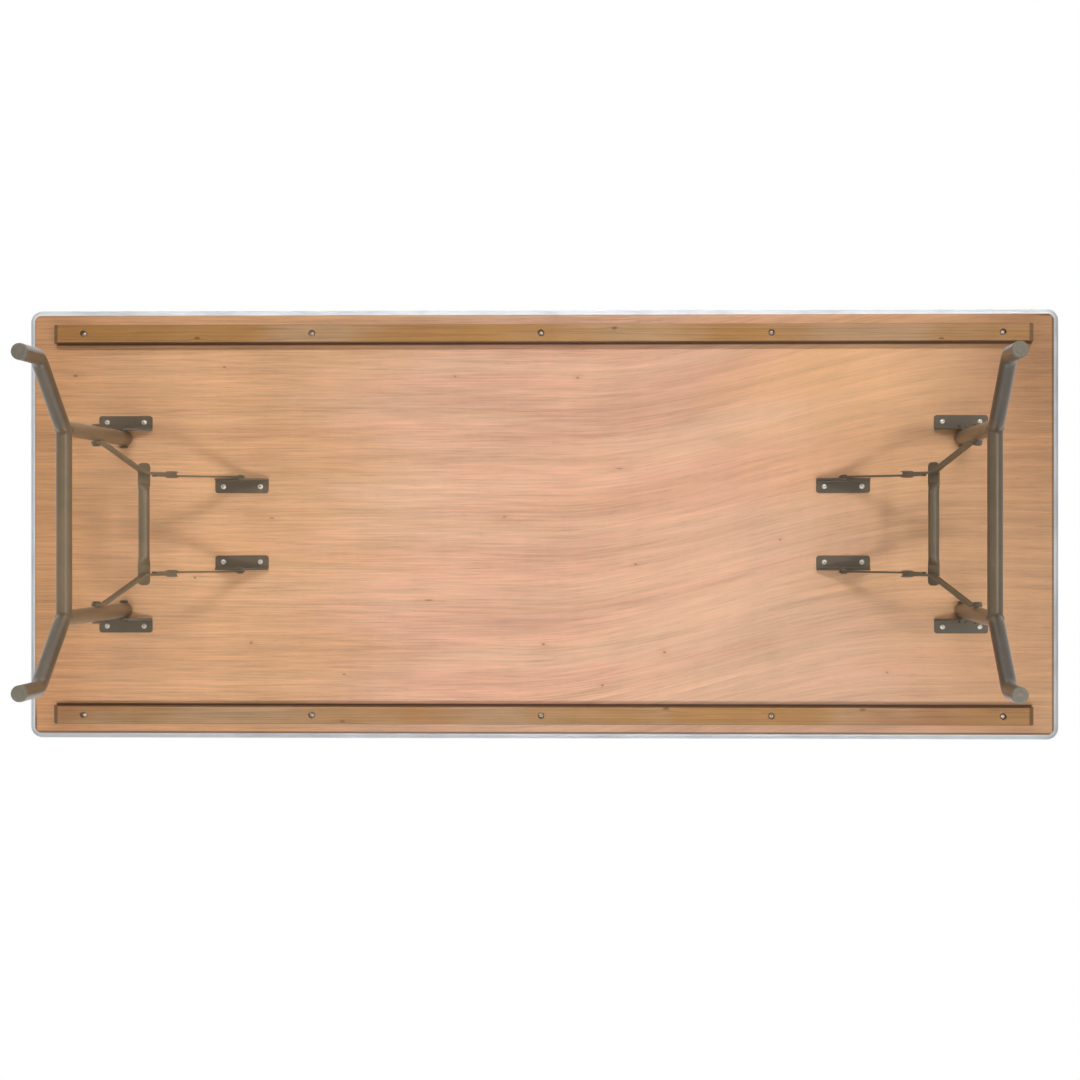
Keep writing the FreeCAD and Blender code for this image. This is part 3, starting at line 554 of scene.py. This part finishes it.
@dataclass(frozen=True)
class SatinStrip(Finish):
    """Drawn aluminium strip, with fine lines along its length and small dents."""

    metal: Colour = display(214, 217, 220)
    worn: Colour = display(184, 186, 189)
    corner_start: float = 0.893

    def paint(self, graph: Graph) -> None:
        """Draw lines that run along each side of the table, with painted shade on the back and right sides
        and painted light on the front side.
        """
        where = graph.place()
        away = graph.math("ABSOLUTE", graph.axis(where, "X"))
        short_side = graph.band(away, self.corner_start - 0.004, self.corner_start + 0.012)
        long_lines = graph.noise(where, (4.0, 2600.0, 2600.0), detail=2.0)
        short_lines = graph.noise(where, (2600.0, 4.0, 2600.0), detail=2.0)
        lines = long_lines + short_side * (short_lines - long_lines)
        smudge = graph.noise(where, (9.0, 9.0, 30.0), detail=4.0, roughness=0.6)
        nick = graph.band(graph.noise(where, (130.0, 130.0, 300.0), detail=2.0), 0.68, 0.78)
        base = graph.blend(graph.band(smudge, 0.42, 0.7) * 0.6 + nick * 0.3, self.metal, self.worn)
        # Painted shade on the back and right sides, painted light on the front side.
        across = graph.axis(where, "Y")
        dull = graph.math("MAXIMUM", graph.band(across, 0.36, 0.374),
                          graph.band(graph.axis(where, "X"), 0.89, 0.908))
        bright = graph.band(across, -0.36, -0.374)
        colour = graph.shade(base, 1.0 + 0.12 * (lines - 0.5) - 0.24 * dull + 0.1 * bright)
        roughness = 0.5 + 0.14 * (smudge - 0.5) + 0.16 * (lines - 0.5)
        graph.surface(colour, roughness, graph.bump(lines - nick * 0.6, 0.00008, 0.5), Metallic=0.25,
                      Specular_IOR_Level=0.15)


@dataclass(frozen=True)
class MouldedPlastic(Finish):
    """Grey moulded foot, scuffed on its tread."""

    body: Colour = display(124, 116, 102)
    scuff: Colour = display(156, 148, 134)
    tread_height: float = 0.0025

    def paint(self, graph: Graph) -> None:
        """Spark-eroded texture, with scuffs near the floor."""
        where = graph.place()
        grain = graph.noise(where, (1500.0, 1500.0, 1500.0), detail=3.0, roughness=0.7)
        cloud = graph.noise(where, (120.0, 120.0, 120.0), detail=3.0)
        drag = graph.noise(where, (900.0, 160.0, 900.0), detail=3.0, roughness=0.7)
        low = graph.band(graph.axis(where, "Z"), self.tread_height, 0.0002)
        scuffed = low * graph.band(drag, 0.45, 0.68)
        base = graph.shade(self.body, 1.0 + 0.18 * (cloud - 0.5) + 0.16 * (grain - 0.5))
        colour = graph.blend(scuffed * 0.6, base, self.scuff)
        graph.surface(colour, 0.52 + 0.2 * scuffed, graph.bump(grain, 0.00012, 0.6))


FINISHES: dict[Slot, Finish] = {
    finish.slot: finish
    for finish in (
        VeneerPlywood("veneer_plywood", Slot.PLYWOOD),
        BattenTimber("batten_timber", Slot.BATTEN),
        PowderCoat("powder_coat", Slot.STEEL),
        ZincPlate("zinc_plate", Slot.ZINC),
        SatinStrip("satin_strip", Slot.STRIP),
        MouldedPlastic("moulded_plastic", Slot.PLASTIC),
    )
}


class Workbench:
    """Modelling by hand, one piece at a time, in millimetres."""

    @staticmethod
    def put_down() -> None:
        """Leave edit mode and let go of everything."""
        if bpy.context.mode != "OBJECT":
            bpy.ops.object.mode_set(mode="OBJECT")
        bpy.ops.object.select_all(action="DESELECT")

    @staticmethod
    def take(piece: bpy.types.Object) -> None:
        """Hold one piece alone."""
        Workbench.put_down()
        piece.select_set(True)
        bpy.context.view_layer.objects.active = piece

    @staticmethod
    def cylinder(name: str, radius: float, low: float, high: float, sides: int) -> bpy.types.Object:
        """Start a piece as an upright cylinder and go into edit mode.

        Args:
            name: Name of the piece.
            radius: Its radius.
            low: Height of its lower face.
            high: Height of its upper face.
            sides: Number of sides.

        Returns:
            The new piece.
        """
        Workbench.put_down()
        bpy.ops.mesh.primitive_cylinder_add(vertices=sides, radius=radius, depth=high - low,
                                            location=(0.0, 0.0, (high + low) / 2))
        piece = bpy.context.active_object
        piece.name = name
        bpy.ops.object.transform_apply(location=True, rotation=True, scale=True)
        bpy.ops.object.mode_set(mode="EDIT")
        return piece

    @staticmethod
    def pick(piece: bpy.types.Object, kind: Part, test: Callable[[Any], bool]) -> None:
        """Select what passes a test.

        Args:
            piece: A piece in edit mode.
            kind: Points, edges or faces.
            test: Takes one of them.
        """
        bpy.ops.mesh.select_mode(type=kind.name)
        bpy.ops.mesh.select_all(action="DESELECT")
        mesh = bmesh.from_edit_mesh(piece.data)
        mesh.normal_update()
        for part in getattr(mesh, kind.value):
            if test(part):
                part.select_set(True)
        bmesh.update_edit_mesh(piece.data)

    @staticmethod
    def pick_upper(piece: bpy.types.Object, above: float = -math.inf) -> None:
        """Select the faces above a height that look up."""
        Workbench.pick(piece, Part.FACE, lambda face: face.normal.z > LEVEL
                       and face.calc_center_median().z > above)

    @staticmethod
    def pick_lower(piece: bpy.types.Object) -> None:
        """Select the faces that look down."""
        Workbench.pick(piece, Part.FACE, lambda face: face.normal.z < -LEVEL)

    @staticmethod
    def draw_out(rise: float, share: float, height: float) -> None:
        """Extrude the selected face straight, then scale it about the piece's axis.

        Args:
            rise: Distance up, or down where it is negative.
            share: New size as a share of the old one.
            height: Height of the face once it has moved.
        """
        bpy.ops.mesh.extrude_region_move(TRANSFORM_OT_translate={"value": (0.0, 0.0, rise)})
        bpy.ops.transform.resize(value=(share, share, 1.0), center_override=(0.0, 0.0, height))

    @staticmethod
    def modify(piece: bpy.types.Object, kind: str, settings: dict[str, Any]) -> None:
        """Add one modifier and apply it."""
        Workbench.take(piece)
        modifier = piece.modifiers.new(kind.lower(), kind)
        for name, setting in settings.items():
            setattr(modifier, name, setting)
        bpy.ops.object.modifier_apply(modifier=modifier.name)

    @staticmethod
    def smooth(piece: bpy.types.Object, degrees: float = 35.0) -> None:
        """Shade a piece smooth, apart from its sharp edges."""
        Workbench.take(piece)
        bpy.ops.object.shade_smooth_by_angle(angle=math.radians(degrees))

    @staticmethod
    def lay_out(pattern: bpy.types.Object, name: str, places: Sequence[Matrix]) -> bpy.types.Object:
        """Copy a pattern to its places, as one piece in metres.

        Args:
            pattern: A finished piece in millimetres, about the origin.
            name: Name of the whole set.
            places: Where each copy goes, in millimetres.

        Returns:
            The set, with its place in its mesh.
        """
        Workbench.put_down()
        copies = []
        for place in places:
            copy = pattern.copy()
            copy.data = pattern.data.copy()
            copy.data.transform(Matrix.Scale(MM, 4) @ place)
            if place.determinant() < 0:
                copy.data.flip_normals()
            bpy.context.collection.objects.link(copy)
            copy.select_set(True)
            copies.append(copy)
        bpy.context.view_layer.objects.active = copies[0]
        if len(copies) > 1:
            bpy.ops.object.join()
        whole = bpy.context.view_layer.objects.active
        whole.name = name
        whole.data.name = name
        Workbench.put_down()
        return whole


def mount(piece: bpy.types.Object, body: str, finish: Finish, *nodes: str) -> None:
    """Dress a new piece and fix it to a body.

    Args:
        piece: The new piece.
        body: The body that it moves with.
        finish: Its finish.
        nodes: The nodes that it stands for.
    """
    piece.data.materials.clear()
    piece.data.materials.append(finish.material())
    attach(piece, body)
    if nodes:
        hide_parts(*nodes)
    LOG.info("%s: %d faces on %s", piece.name, len(piece.data.polygons), body)


@dataclass
class WoodScrews:
    """Domed wood screws with a cross recess, in millimetres."""

    head_radius: float = 4.7
    head_height: float = 3.0
    rim_height: float = 0.6
    shank_radius: float = 2.1
    tip_length: float = 3.0
    recess_length: float = 5.0
    recess_width: float = 1.3
    recess_depth: float = 1.8
    recess_taper: Triple = (0.4, 0.62, 1.0)
    dome_share: float = 0.86
    dome_steps: int = 6
    tip_share: float = 0.06
    sides: int = 40

    def model(self, length: float) -> bpy.types.Object:
        """Model one screw, its head under the origin and its shank up from it.

        Args:
            length: Length of the shank.

        Returns:
            The screw.
        """
        screw = Workbench.cylinder("screw", self.head_radius, -self.rim_height, 0.0, self.sides)
        Workbench.pick_lower(screw)
        dome = self.head_height - self.rim_height
        angles = [step / self.dome_steps * math.pi / 2 * self.dome_share
                  for step in range(self.dome_steps + 1)]
        drops = [dome * math.sin(angle) / math.sin(angles[-1]) for angle in angles]
        for step in range(1, self.dome_steps + 1):
            Workbench.draw_out(drops[step - 1] - drops[step],
                               math.cos(angles[step]) / math.cos(angles[step - 1]),
                               -self.rim_height - drops[step])
        Workbench.pick_upper(screw)
        bpy.ops.mesh.inset(thickness=self.head_radius - self.shank_radius)
        Workbench.draw_out(length - self.tip_length, 1.0, length - self.tip_length)
        Workbench.draw_out(self.tip_length, self.tip_share, length)
        self.cut_recess(screw)
        Workbench.smooth(screw)
        return screw

    def cut_recess(self, screw: bpy.types.Object) -> None:
        """Sink a tapered cross into the head and mark its faces."""
        Workbench.put_down()
        bpy.ops.mesh.primitive_cube_add(size=1.0, location=(0.0, 0.0, -self.head_height))
        cutter = bpy.context.active_object
        bpy.ops.transform.resize(value=(self.recess_length, self.recess_width, 2 * self.recess_depth))
        bpy.ops.object.transform_apply(location=True, rotation=True, scale=True)
        bpy.ops.object.mode_set(mode="EDIT")
        Workbench.pick_upper(cutter)
        bpy.ops.transform.resize(value=self.recess_taper,
                                 center_override=(0.0, 0.0, self.recess_depth - self.head_height))
        bpy.ops.mesh.select_all(action="SELECT")
        bpy.ops.mesh.duplicate()
        bpy.ops.transform.rotate(value=math.pi / 2, orient_axis="Z",
                                 center_override=(0.0, 0.0, -self.head_height))
        Workbench.put_down()
        Workbench.modify(screw, "BOOLEAN", {"operation": "DIFFERENCE", "object": cutter, "solver": "EXACT",
                                            "use_self": True})
        bpy.data.objects.remove(cutter)
        marks = screw.data.attributes.new("recess", "FLOAT", "FACE")
        for face in screw.data.polygons:
            marks.data[face.index].value = float(self.in_recess(face))

    def in_recess(self, face: bpy.types.MeshPolygon) -> bool:
        """Whether a face of a screw is a wall or the floor of its recess."""
        near, far = sorted((abs(face.center.x), abs(face.center.y)))
        depth = face.center.z + self.head_height
        in_cross = near <= self.recess_width / 2 + 0.01 and far < self.recess_length / 2
        in_head = 0.0 < depth < self.head_height - 0.3
        return in_cross and in_head and (abs(face.normal.z) < 0.8 or depth > 0.9)

    def build(self, name: str, length: float, places: Sequence[Vector]) -> bpy.types.Object:
        """Model a screw and copy it to its places, each turned to its own angle.

        Args:
            name: Name of the whole set.
            length: Length of the shanks.
            places: Where the heads are seated.

        Returns:
            The set of screws.
        """
        turns = [Matrix.Translation(place) @ Matrix.Rotation(GOLDEN_ANGLE * index, 4, "Z")
                 for index, place in enumerate(places)]
        screw = self.model(length)
        whole = Workbench.lay_out(screw, name, turns)
        bpy.data.objects.remove(screw)
        return whole


@dataclass
class Tabletop:
    """The screws of the panel's brackets and battens, placed from the panel's measures, in millimetres."""

    underside: float = 743.0
    hinge_x: float = 742.0
    brace_x: float = 534.0
    hinge_flange_y: float = 166.9
    brace_flange_y: float = 78.5
    bracket_thickness: float = 3.0
    bracket_foot: float = 26.0
    bracket_screw_pitch: float = 66.0
    batten_y: float = 338.0
    batten_seat: float = 727.0
    batten_screw_pitch: float = 406.5
    batten_screws: int = 5
    bracket_screw_length: float = 15.0
    batten_screw_length: float = 28.0

    def bracket_screw_places(self) -> list[Vector]:
        """Where the bracket screws are seated."""
        hinge_y = self.hinge_flange_y + (self.bracket_thickness + self.bracket_foot) / 2
        brace_y = self.brace_flange_y + (self.bracket_thickness - self.bracket_foot) / 2
        seat = self.underside - self.bracket_thickness
        half = self.bracket_screw_pitch / 2
        return [Vector((end.value * (x + step), side.value * y, seat))
                for end in End for side in Side
                for x, y in ((self.hinge_x, hinge_y), (self.brace_x, brace_y))
                for step in (-half, half)]

    def batten_screw_places(self) -> list[Vector]:
        """Where the batten screws are seated."""
        middle = (self.batten_screws - 1) / 2
        return [Vector(((index - middle) * self.batten_screw_pitch, side.value * self.batten_y,
                        self.batten_seat))
                for side in Side for index in range(self.batten_screws)]

    def build(self) -> None:
        """Make the screws that hold the brackets and the battens."""
        screws = WoodScrews()
        zinc = FINISHES[Slot.ZINC]
        mount(screws.build("bracket_screw_set", self.bracket_screw_length, self.bracket_screw_places()),
              "tabletop", zinc, "bracket_screws")
        mount(screws.build("batten_screw_set", self.batten_screw_length, self.batten_screw_places()),
              "tabletop", zinc, "batten_screws")


@dataclass
class LegFrames:
    """Both folding leg frames: their foot plugs and the welds of their crossbars, in millimetres."""

    hinge_x: float = 742.0
    leg_y: float = 152.4
    foot_y: float = 255.0
    leg_radius: float = 12.7
    bore_radius: float = 11.0
    crossbar_height: float = 281.0
    bend_start: float = 290.6
    bend_radius: float = 60.0
    plug_flange: float = 7.0
    plug_sides: int = 48
    tread_rim: float = 4.6
    tread_bevel: float = 2.4
    tread_steps: tuple[tuple[float, float, float, float], ...] = (
        (0.5, 0.7, 1.0, 0.7), (1.2, -0.7, 0.92, 0.0), (3.9, 0.4, 0.9, 0.4))
    stem_steps: tuple[tuple[float, float], ...] = (
        (6.0, 1.0), (0.5, 0.96), (7.0, 1.0), (0.5, 1.0 / 0.96), (7.0, 1.0), (3.0, 0.85))
    bead_radius: float = 2.1
    bead_segments: int = 72
    bead_ripples: int = 24

    def model_plug(self) -> bpy.types.Object:
        """Model a foot plug with a rounded tread, a ring groove and a ribbed stem.

        Returns:
            The plug, its tread at the origin.
        """
        plug = Workbench.cylinder("plug", self.leg_radius, 0.0, self.plug_flange, self.plug_sides)
        Workbench.pick_lower(plug)
        bpy.ops.mesh.inset(thickness=self.tread_rim)
        for inset, rise, share, height in self.tread_steps:
            bpy.ops.mesh.inset(thickness=inset)
            Workbench.draw_out(rise, share, height)
        Workbench.pick_upper(plug, self.plug_flange - 1.0)
        bpy.ops.mesh.inset(thickness=self.leg_radius - self.bore_radius + 0.1)
        top = self.plug_flange
        for rise, share in self.stem_steps:
            top += rise
            Workbench.draw_out(rise, share, top)
        radius = self.leg_radius - 0.05
        Workbench.pick(plug, Part.EDGE, lambda edge: all(
            point.co.z < 0.01 and point.co.xy.length > radius for point in edge.verts))
        bpy.ops.mesh.bevel(offset=self.tread_bevel, segments=5, affect="EDGES")
        Workbench.put_down()
        Workbench.smooth(plug, 40.0)
        return plug

    def leg_surface(self, x: float, z: float) -> float:
        """How far out in Y the inner face of the bent leg is.

        Args:
            x: Distance from the leg's middle plane.
            z: Height above the floor.

        Returns:
            The Y of the face.
        """
        below = max(self.bend_start - z, 0.0)
        lean = self.bend_radius - math.sqrt(self.bend_radius ** 2 - below ** 2)
        return self.leg_y + lean - math.sqrt(max(self.leg_radius ** 2 - x ** 2, 0.0))

    def model_bead(self) -> bpy.types.Object:
        """Model the weld bead round the end of the crossbar, as a rippled saddle.

        Returns:
            The bead at the back leg, about the leg's middle plane.
        """
        Workbench.put_down()
        bpy.ops.mesh.primitive_torus_add(major_radius=self.leg_radius, minor_radius=self.bead_radius,
                                         major_segments=self.bead_segments, minor_segments=10,
                                         rotation=(math.pi / 2, 0.0, 0.0))
        bead = bpy.context.active_object
        bpy.ops.object.transform_apply(location=True, rotation=True, scale=True)
        bpy.ops.object.mode_set(mode="EDIT")
        step = 2 * math.pi / self.bead_segments
        for index in range(self.bead_segments):
            angle = index * step
            x = self.leg_radius * math.cos(angle)
            z = self.leg_radius * math.sin(angle)

            def in_ring(point: bmesh.types.BMVert) -> bool:
                """Whether a point belongs to this ring of the torus."""
                turn = (math.atan2(point.co.z, point.co.x) - angle + math.pi) % (2 * math.pi) - math.pi
                return abs(turn) < step / 4

            Workbench.pick(bead, Part.VERT, in_ring)
            out = self.leg_surface(x, self.crossbar_height + z)
            phase = index * self.bead_ripples / self.bead_segments % 1.0
            swell = 0.86 + 0.26 * phase
            bpy.ops.transform.resize(value=(swell, swell, swell), center_override=(x, 0.0, z))
            bpy.ops.transform.translate(value=(0.0, out, 0.0))
        Workbench.put_down()
        Workbench.modify(bead, "SUBSURF", {"levels": 1, "render_levels": 1})
        Workbench.smooth(bead, 60.0)
        return bead

    def build(self) -> None:
        """Make the plugs and the welds of both frames."""
        plug = self.model_plug()
        bead = self.model_bead()
        for end in End:
            body = f"leg_set_{end.label}"
            hinge = end.value * self.hinge_x
            for side in Side:
                place = Matrix.Translation((hinge, side.value * self.foot_y, 0.0))
                foot = Workbench.lay_out(plug, f"foot_{end.label}_{side.label}", [place])
                mount(foot, body, FINISHES[Slot.PLASTIC], f"foot_plug_{end.label}_{side.label}")
            places = [Matrix.Translation((hinge, 0.0, self.crossbar_height))
                      @ Matrix.Diagonal((1.0, side.value, 1.0, 1.0)) for side in Side]
            mount(Workbench.lay_out(bead, f"crossbar_welds_{end.label}", places), body,
                  FINISHES[Slot.STEEL])
        bpy.data.objects.remove(plug)
        bpy.data.objects.remove(bead)


@dataclass
class Braces:
    """Both pairs of folding braces: the welds between tie bars and lower links, in millimetres."""

    bracket_x: float = 534.0
    pivot_height: float = 723.0
    slope: float = math.atan2(216.0, 208.0)
    tie_from_bracket: float = 196.86
    link_face: float = 89.3
    link_edge: float = 8.3
    bead_length: float = 19.0
    bead_radius: float = 1.7
    bead_sides: int = 14
    bead_steps: int = 15
    start_share: float = 0.55
    start_rise: float = 0.4
    end_share: float = 0.5
    ripple: tuple[float, float] = (0.9, 1.05)

    def model_bead(self) -> bpy.types.Object:
        """Model a rippled fillet weld that runs up from the origin.

        Returns:
            The bead.
        """
        rise = self.bead_length / self.bead_steps
        height = rise * self.start_rise
        size = self.start_share
        bead = Workbench.cylinder("bead", self.bead_radius * size, 0.0, height, self.bead_sides)
        Workbench.pick_upper(bead)
        for step in range(1, self.bead_steps + 1):
            height += rise
            new_size = self.end_share if step == self.bead_steps else self.ripple[step % 2]
            Workbench.draw_out(rise, new_size / size, height)
            size = new_size
        Workbench.put_down()
        Workbench.modify(bead, "SUBSURF", {"levels": 2, "render_levels": 2})
        Workbench.smooth(bead, 60.0)
        return bead

    def build(self) -> None:
        """Lay a bead on the outer side of both lower links, where the tie bar crosses them."""
        bead = self.model_bead()
        lie_down = (Matrix.Translation((-self.bead_length / 2, 0.0, 0.0))
                    @ Matrix.Rotation(math.pi / 2, 4, "Y"))
        along = (Matrix.Translation((self.bracket_x, 0.0, self.pivot_height))
                 @ Matrix.Rotation(self.slope, 4, "Y"))
        seat = Matrix.Translation((self.tie_from_bracket, self.link_face, self.link_edge))
        for end in End:
            places = [Matrix.Diagonal((end.value, side.value, 1.0, 1.0)) @ along @ seat @ lie_down
                      for side in Side]
            mount(Workbench.lay_out(bead, f"tie_welds_{end.label}", places), f"lower_brace_{end.label}",
                  FINISHES[Slot.STEEL])
        bpy.data.objects.remove(bead)


@dataclass(frozen=True)
class SoftBox:
    """One lamp that the camera itself does not see, in metres, watts and degrees."""

    name: str
    place: Triple
    aim: Triple
    size: tuple[float, float]
    power: float
    spread: float = 180.0
    mirrored: bool = True

    def hang(self) -> None:
        """Hang the lamp at its place and point it at its aim."""
        data = bpy.data.lights.new(self.name, "AREA")
        data.shape = "RECTANGLE"
        data.size, data.size_y = self.size
        data.energy = self.power
        data.spread = math.radians(self.spread)
        lamp = bpy.data.objects.new(self.name, data)
        lamp.location = self.place
        lamp.rotation_euler = (Vector(self.aim) - Vector(self.place)).to_track_quat("-Z", "Y").to_euler()
        lamp.visible_camera = False
        lamp.visible_glossy = self.mirrored
        bpy.context.scene.collection.objects.link(lamp)


@dataclass
class Studio:
    """Camera, lamps, white surroundings and a pale floor, in metres."""

    camera_place: Triple = (0.220, 0.016, -3.707)
    lens: float = 83.6
    turn: float = math.radians(1.58)
    shift_x: float = -0.0522
    shift_y: float = -0.0062
    ambient: float = 0.2
    floor_size: float = 24.0
    floor_height: float = -0.0005
    floor_tone: Colour = display(232, 232, 231)
    floor_shown: float = 1.6
    floor_white: float = 4.5

    def build_camera(self) -> None:
        """Set the camera under the table, square to its underside."""
        data = bpy.data.cameras.new("camera")
        data.lens = self.lens
        data.shift_x = self.shift_x
        data.shift_y = self.shift_y
        camera = bpy.data.objects.new("camera", data)
        camera.location = self.camera_place
        camera.rotation_euler = (Matrix.Rotation(-self.turn, 3, "Y")
                                 @ Matrix.Rotation(math.pi, 3, "X")).to_euler()
        bpy.context.scene.collection.objects.link(camera)
        bpy.context.scene.camera = camera

    def build_lamps(self) -> None:
        """Light the underside from both long sides, and the top and the sides more softly."""
        middle = (0.0, 0.0, 0.7)
        boxes = [
            SoftBox("low_strip_front", (0.05, -1.48, -1.66), (0.05, -0.3, 0.74), (2.5, 0.18), 4.8, 55.0),
            SoftBox("low_strip_back", (0.05, 1.15, -1.66), (0.05, 0.3, 0.74), (2.5, 0.18), 4.4, 55.0),
            SoftBox("low_key", (2.5, 0.0, -3.6), middle, (1.2, 0.7), 41.0),
            SoftBox("top_box", (0.0, 0.0, 4.2), middle, (3.0, 1.6), 59.0),
        ]
        for side in Side:
            boxes += [
                SoftBox(f"high_box_{side.label}", (0.4, 2.6 * side.value, 3.2), (0.0, 0.0, 0.6),
                        (2.4, 1.4), 30.0),
                SoftBox(f"side_panel_{side.label}", (0.0, 3.0 * side.value, 0.75), (0.0, 0.0, 0.75),
                        (3.4, 1.2), 20.0),
            ]
        boxes += [SoftBox(f"end_box_{end.label}", (3.2 * end.value, 0.0, 1.5), (0.0, 0.0, 0.5),
                          (1.8, 1.4), 7.0, mirrored=False) for end in End]
        for box in boxes:
            box.hang()

    def build_world(self) -> None:
        """White surroundings for the camera and for reflections, and soft light for the rest."""
        world = bpy.data.worlds.new("surroundings")
        bpy.context.scene.world = world
        world.use_nodes = True
        graph = Graph(world.node_tree)
        seen: Value = 0.0
        for ray in ("Is Camera Ray", "Is Glossy Ray", "Is Transmission Ray"):
            seen = seen + graph.node("ShaderNodeLightPath", output=ray)
        strength = self.ambient + graph.math("MINIMUM", seen, 1.0) * (1.0 - self.ambient)
        light = graph.node("ShaderNodeBackground", None, {"Color": WHITE, "Strength": strength})
        graph.node("ShaderNodeOutputWorld", None, {"Surface": light})

    def build_floor(self) -> None:
        """Pale floor that shows the table's shadow from above and lets the camera see up through it."""
        Workbench.put_down()
        bpy.ops.mesh.primitive_plane_add(size=self.floor_size, location=(0.0, 0.0, self.floor_height))
        floor = bpy.context.active_object
        floor.name = "floor"
        bpy.ops.object.transform_apply(location=True, rotation=True, scale=True)
        material = bpy.data.materials.new("pale_floor")
        material.use_nodes = True
        graph = Graph(material.node_tree)
        where = graph.place()
        away = graph.node("ShaderNodeVectorMath", {"operation": "LENGTH"}, {0: where}, "Value")
        far = graph.band(away, self.floor_shown, self.floor_white)
        cloud = graph.noise(where, (1.2, 1.2, 1.2), detail=3.0)
        pale = graph.node("ShaderNodeBsdfDiffuse", None,
                          {"Color": graph.shade(self.floor_tone, 1.0 + 0.02 * (cloud - 0.5))})
        white = graph.node("ShaderNodeEmission", None, {"Color": WHITE, "Strength": 1.0})
        above = graph.node("ShaderNodeMixShader", None, {0: far, 1: pale, 2: white})
        clear = graph.node("ShaderNodeBsdfTransparent")
        behind = graph.node("ShaderNodeNewGeometry", output="Backfacing")
        whole = graph.node("ShaderNodeMixShader", None, {0: behind, 1: above, 2: clear})
        graph.node("ShaderNodeOutputMaterial", None, {"Surface": whole})
        floor.data.materials.append(material)
        floor.visible_shadow = False
        floor.visible_diffuse = False
        floor.visible_glossy = False

    def build(self) -> None:
        """Set up everything round the table."""
        bpy.context.scene.view_settings.view_transform = "Standard"
        self.build_camera()
        self.build_lamps()
        self.build_world()
        self.build_floor()


def dress_frame() -> None:
    """Give every node of the frame the finish of its slot."""
    for name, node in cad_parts.items():
        slot = Slot(node.data.materials[0].name.split(".")[0])
        node.material_slots[0].material = FINISHES[slot].material()
        LOG.info("%s: %s", name, slot.value)


def main() -> None:
    """Build the studio, dress the frame and add the pieces of each sub-assembly."""
    logging.basicConfig(level=logging.INFO, format="%(name)s: %(message)s")
    Studio().build()
    dress_frame()
    Tabletop().build()
    LegFrames().build()
    Braces().build()


if __name__ == "__main__":
    main()
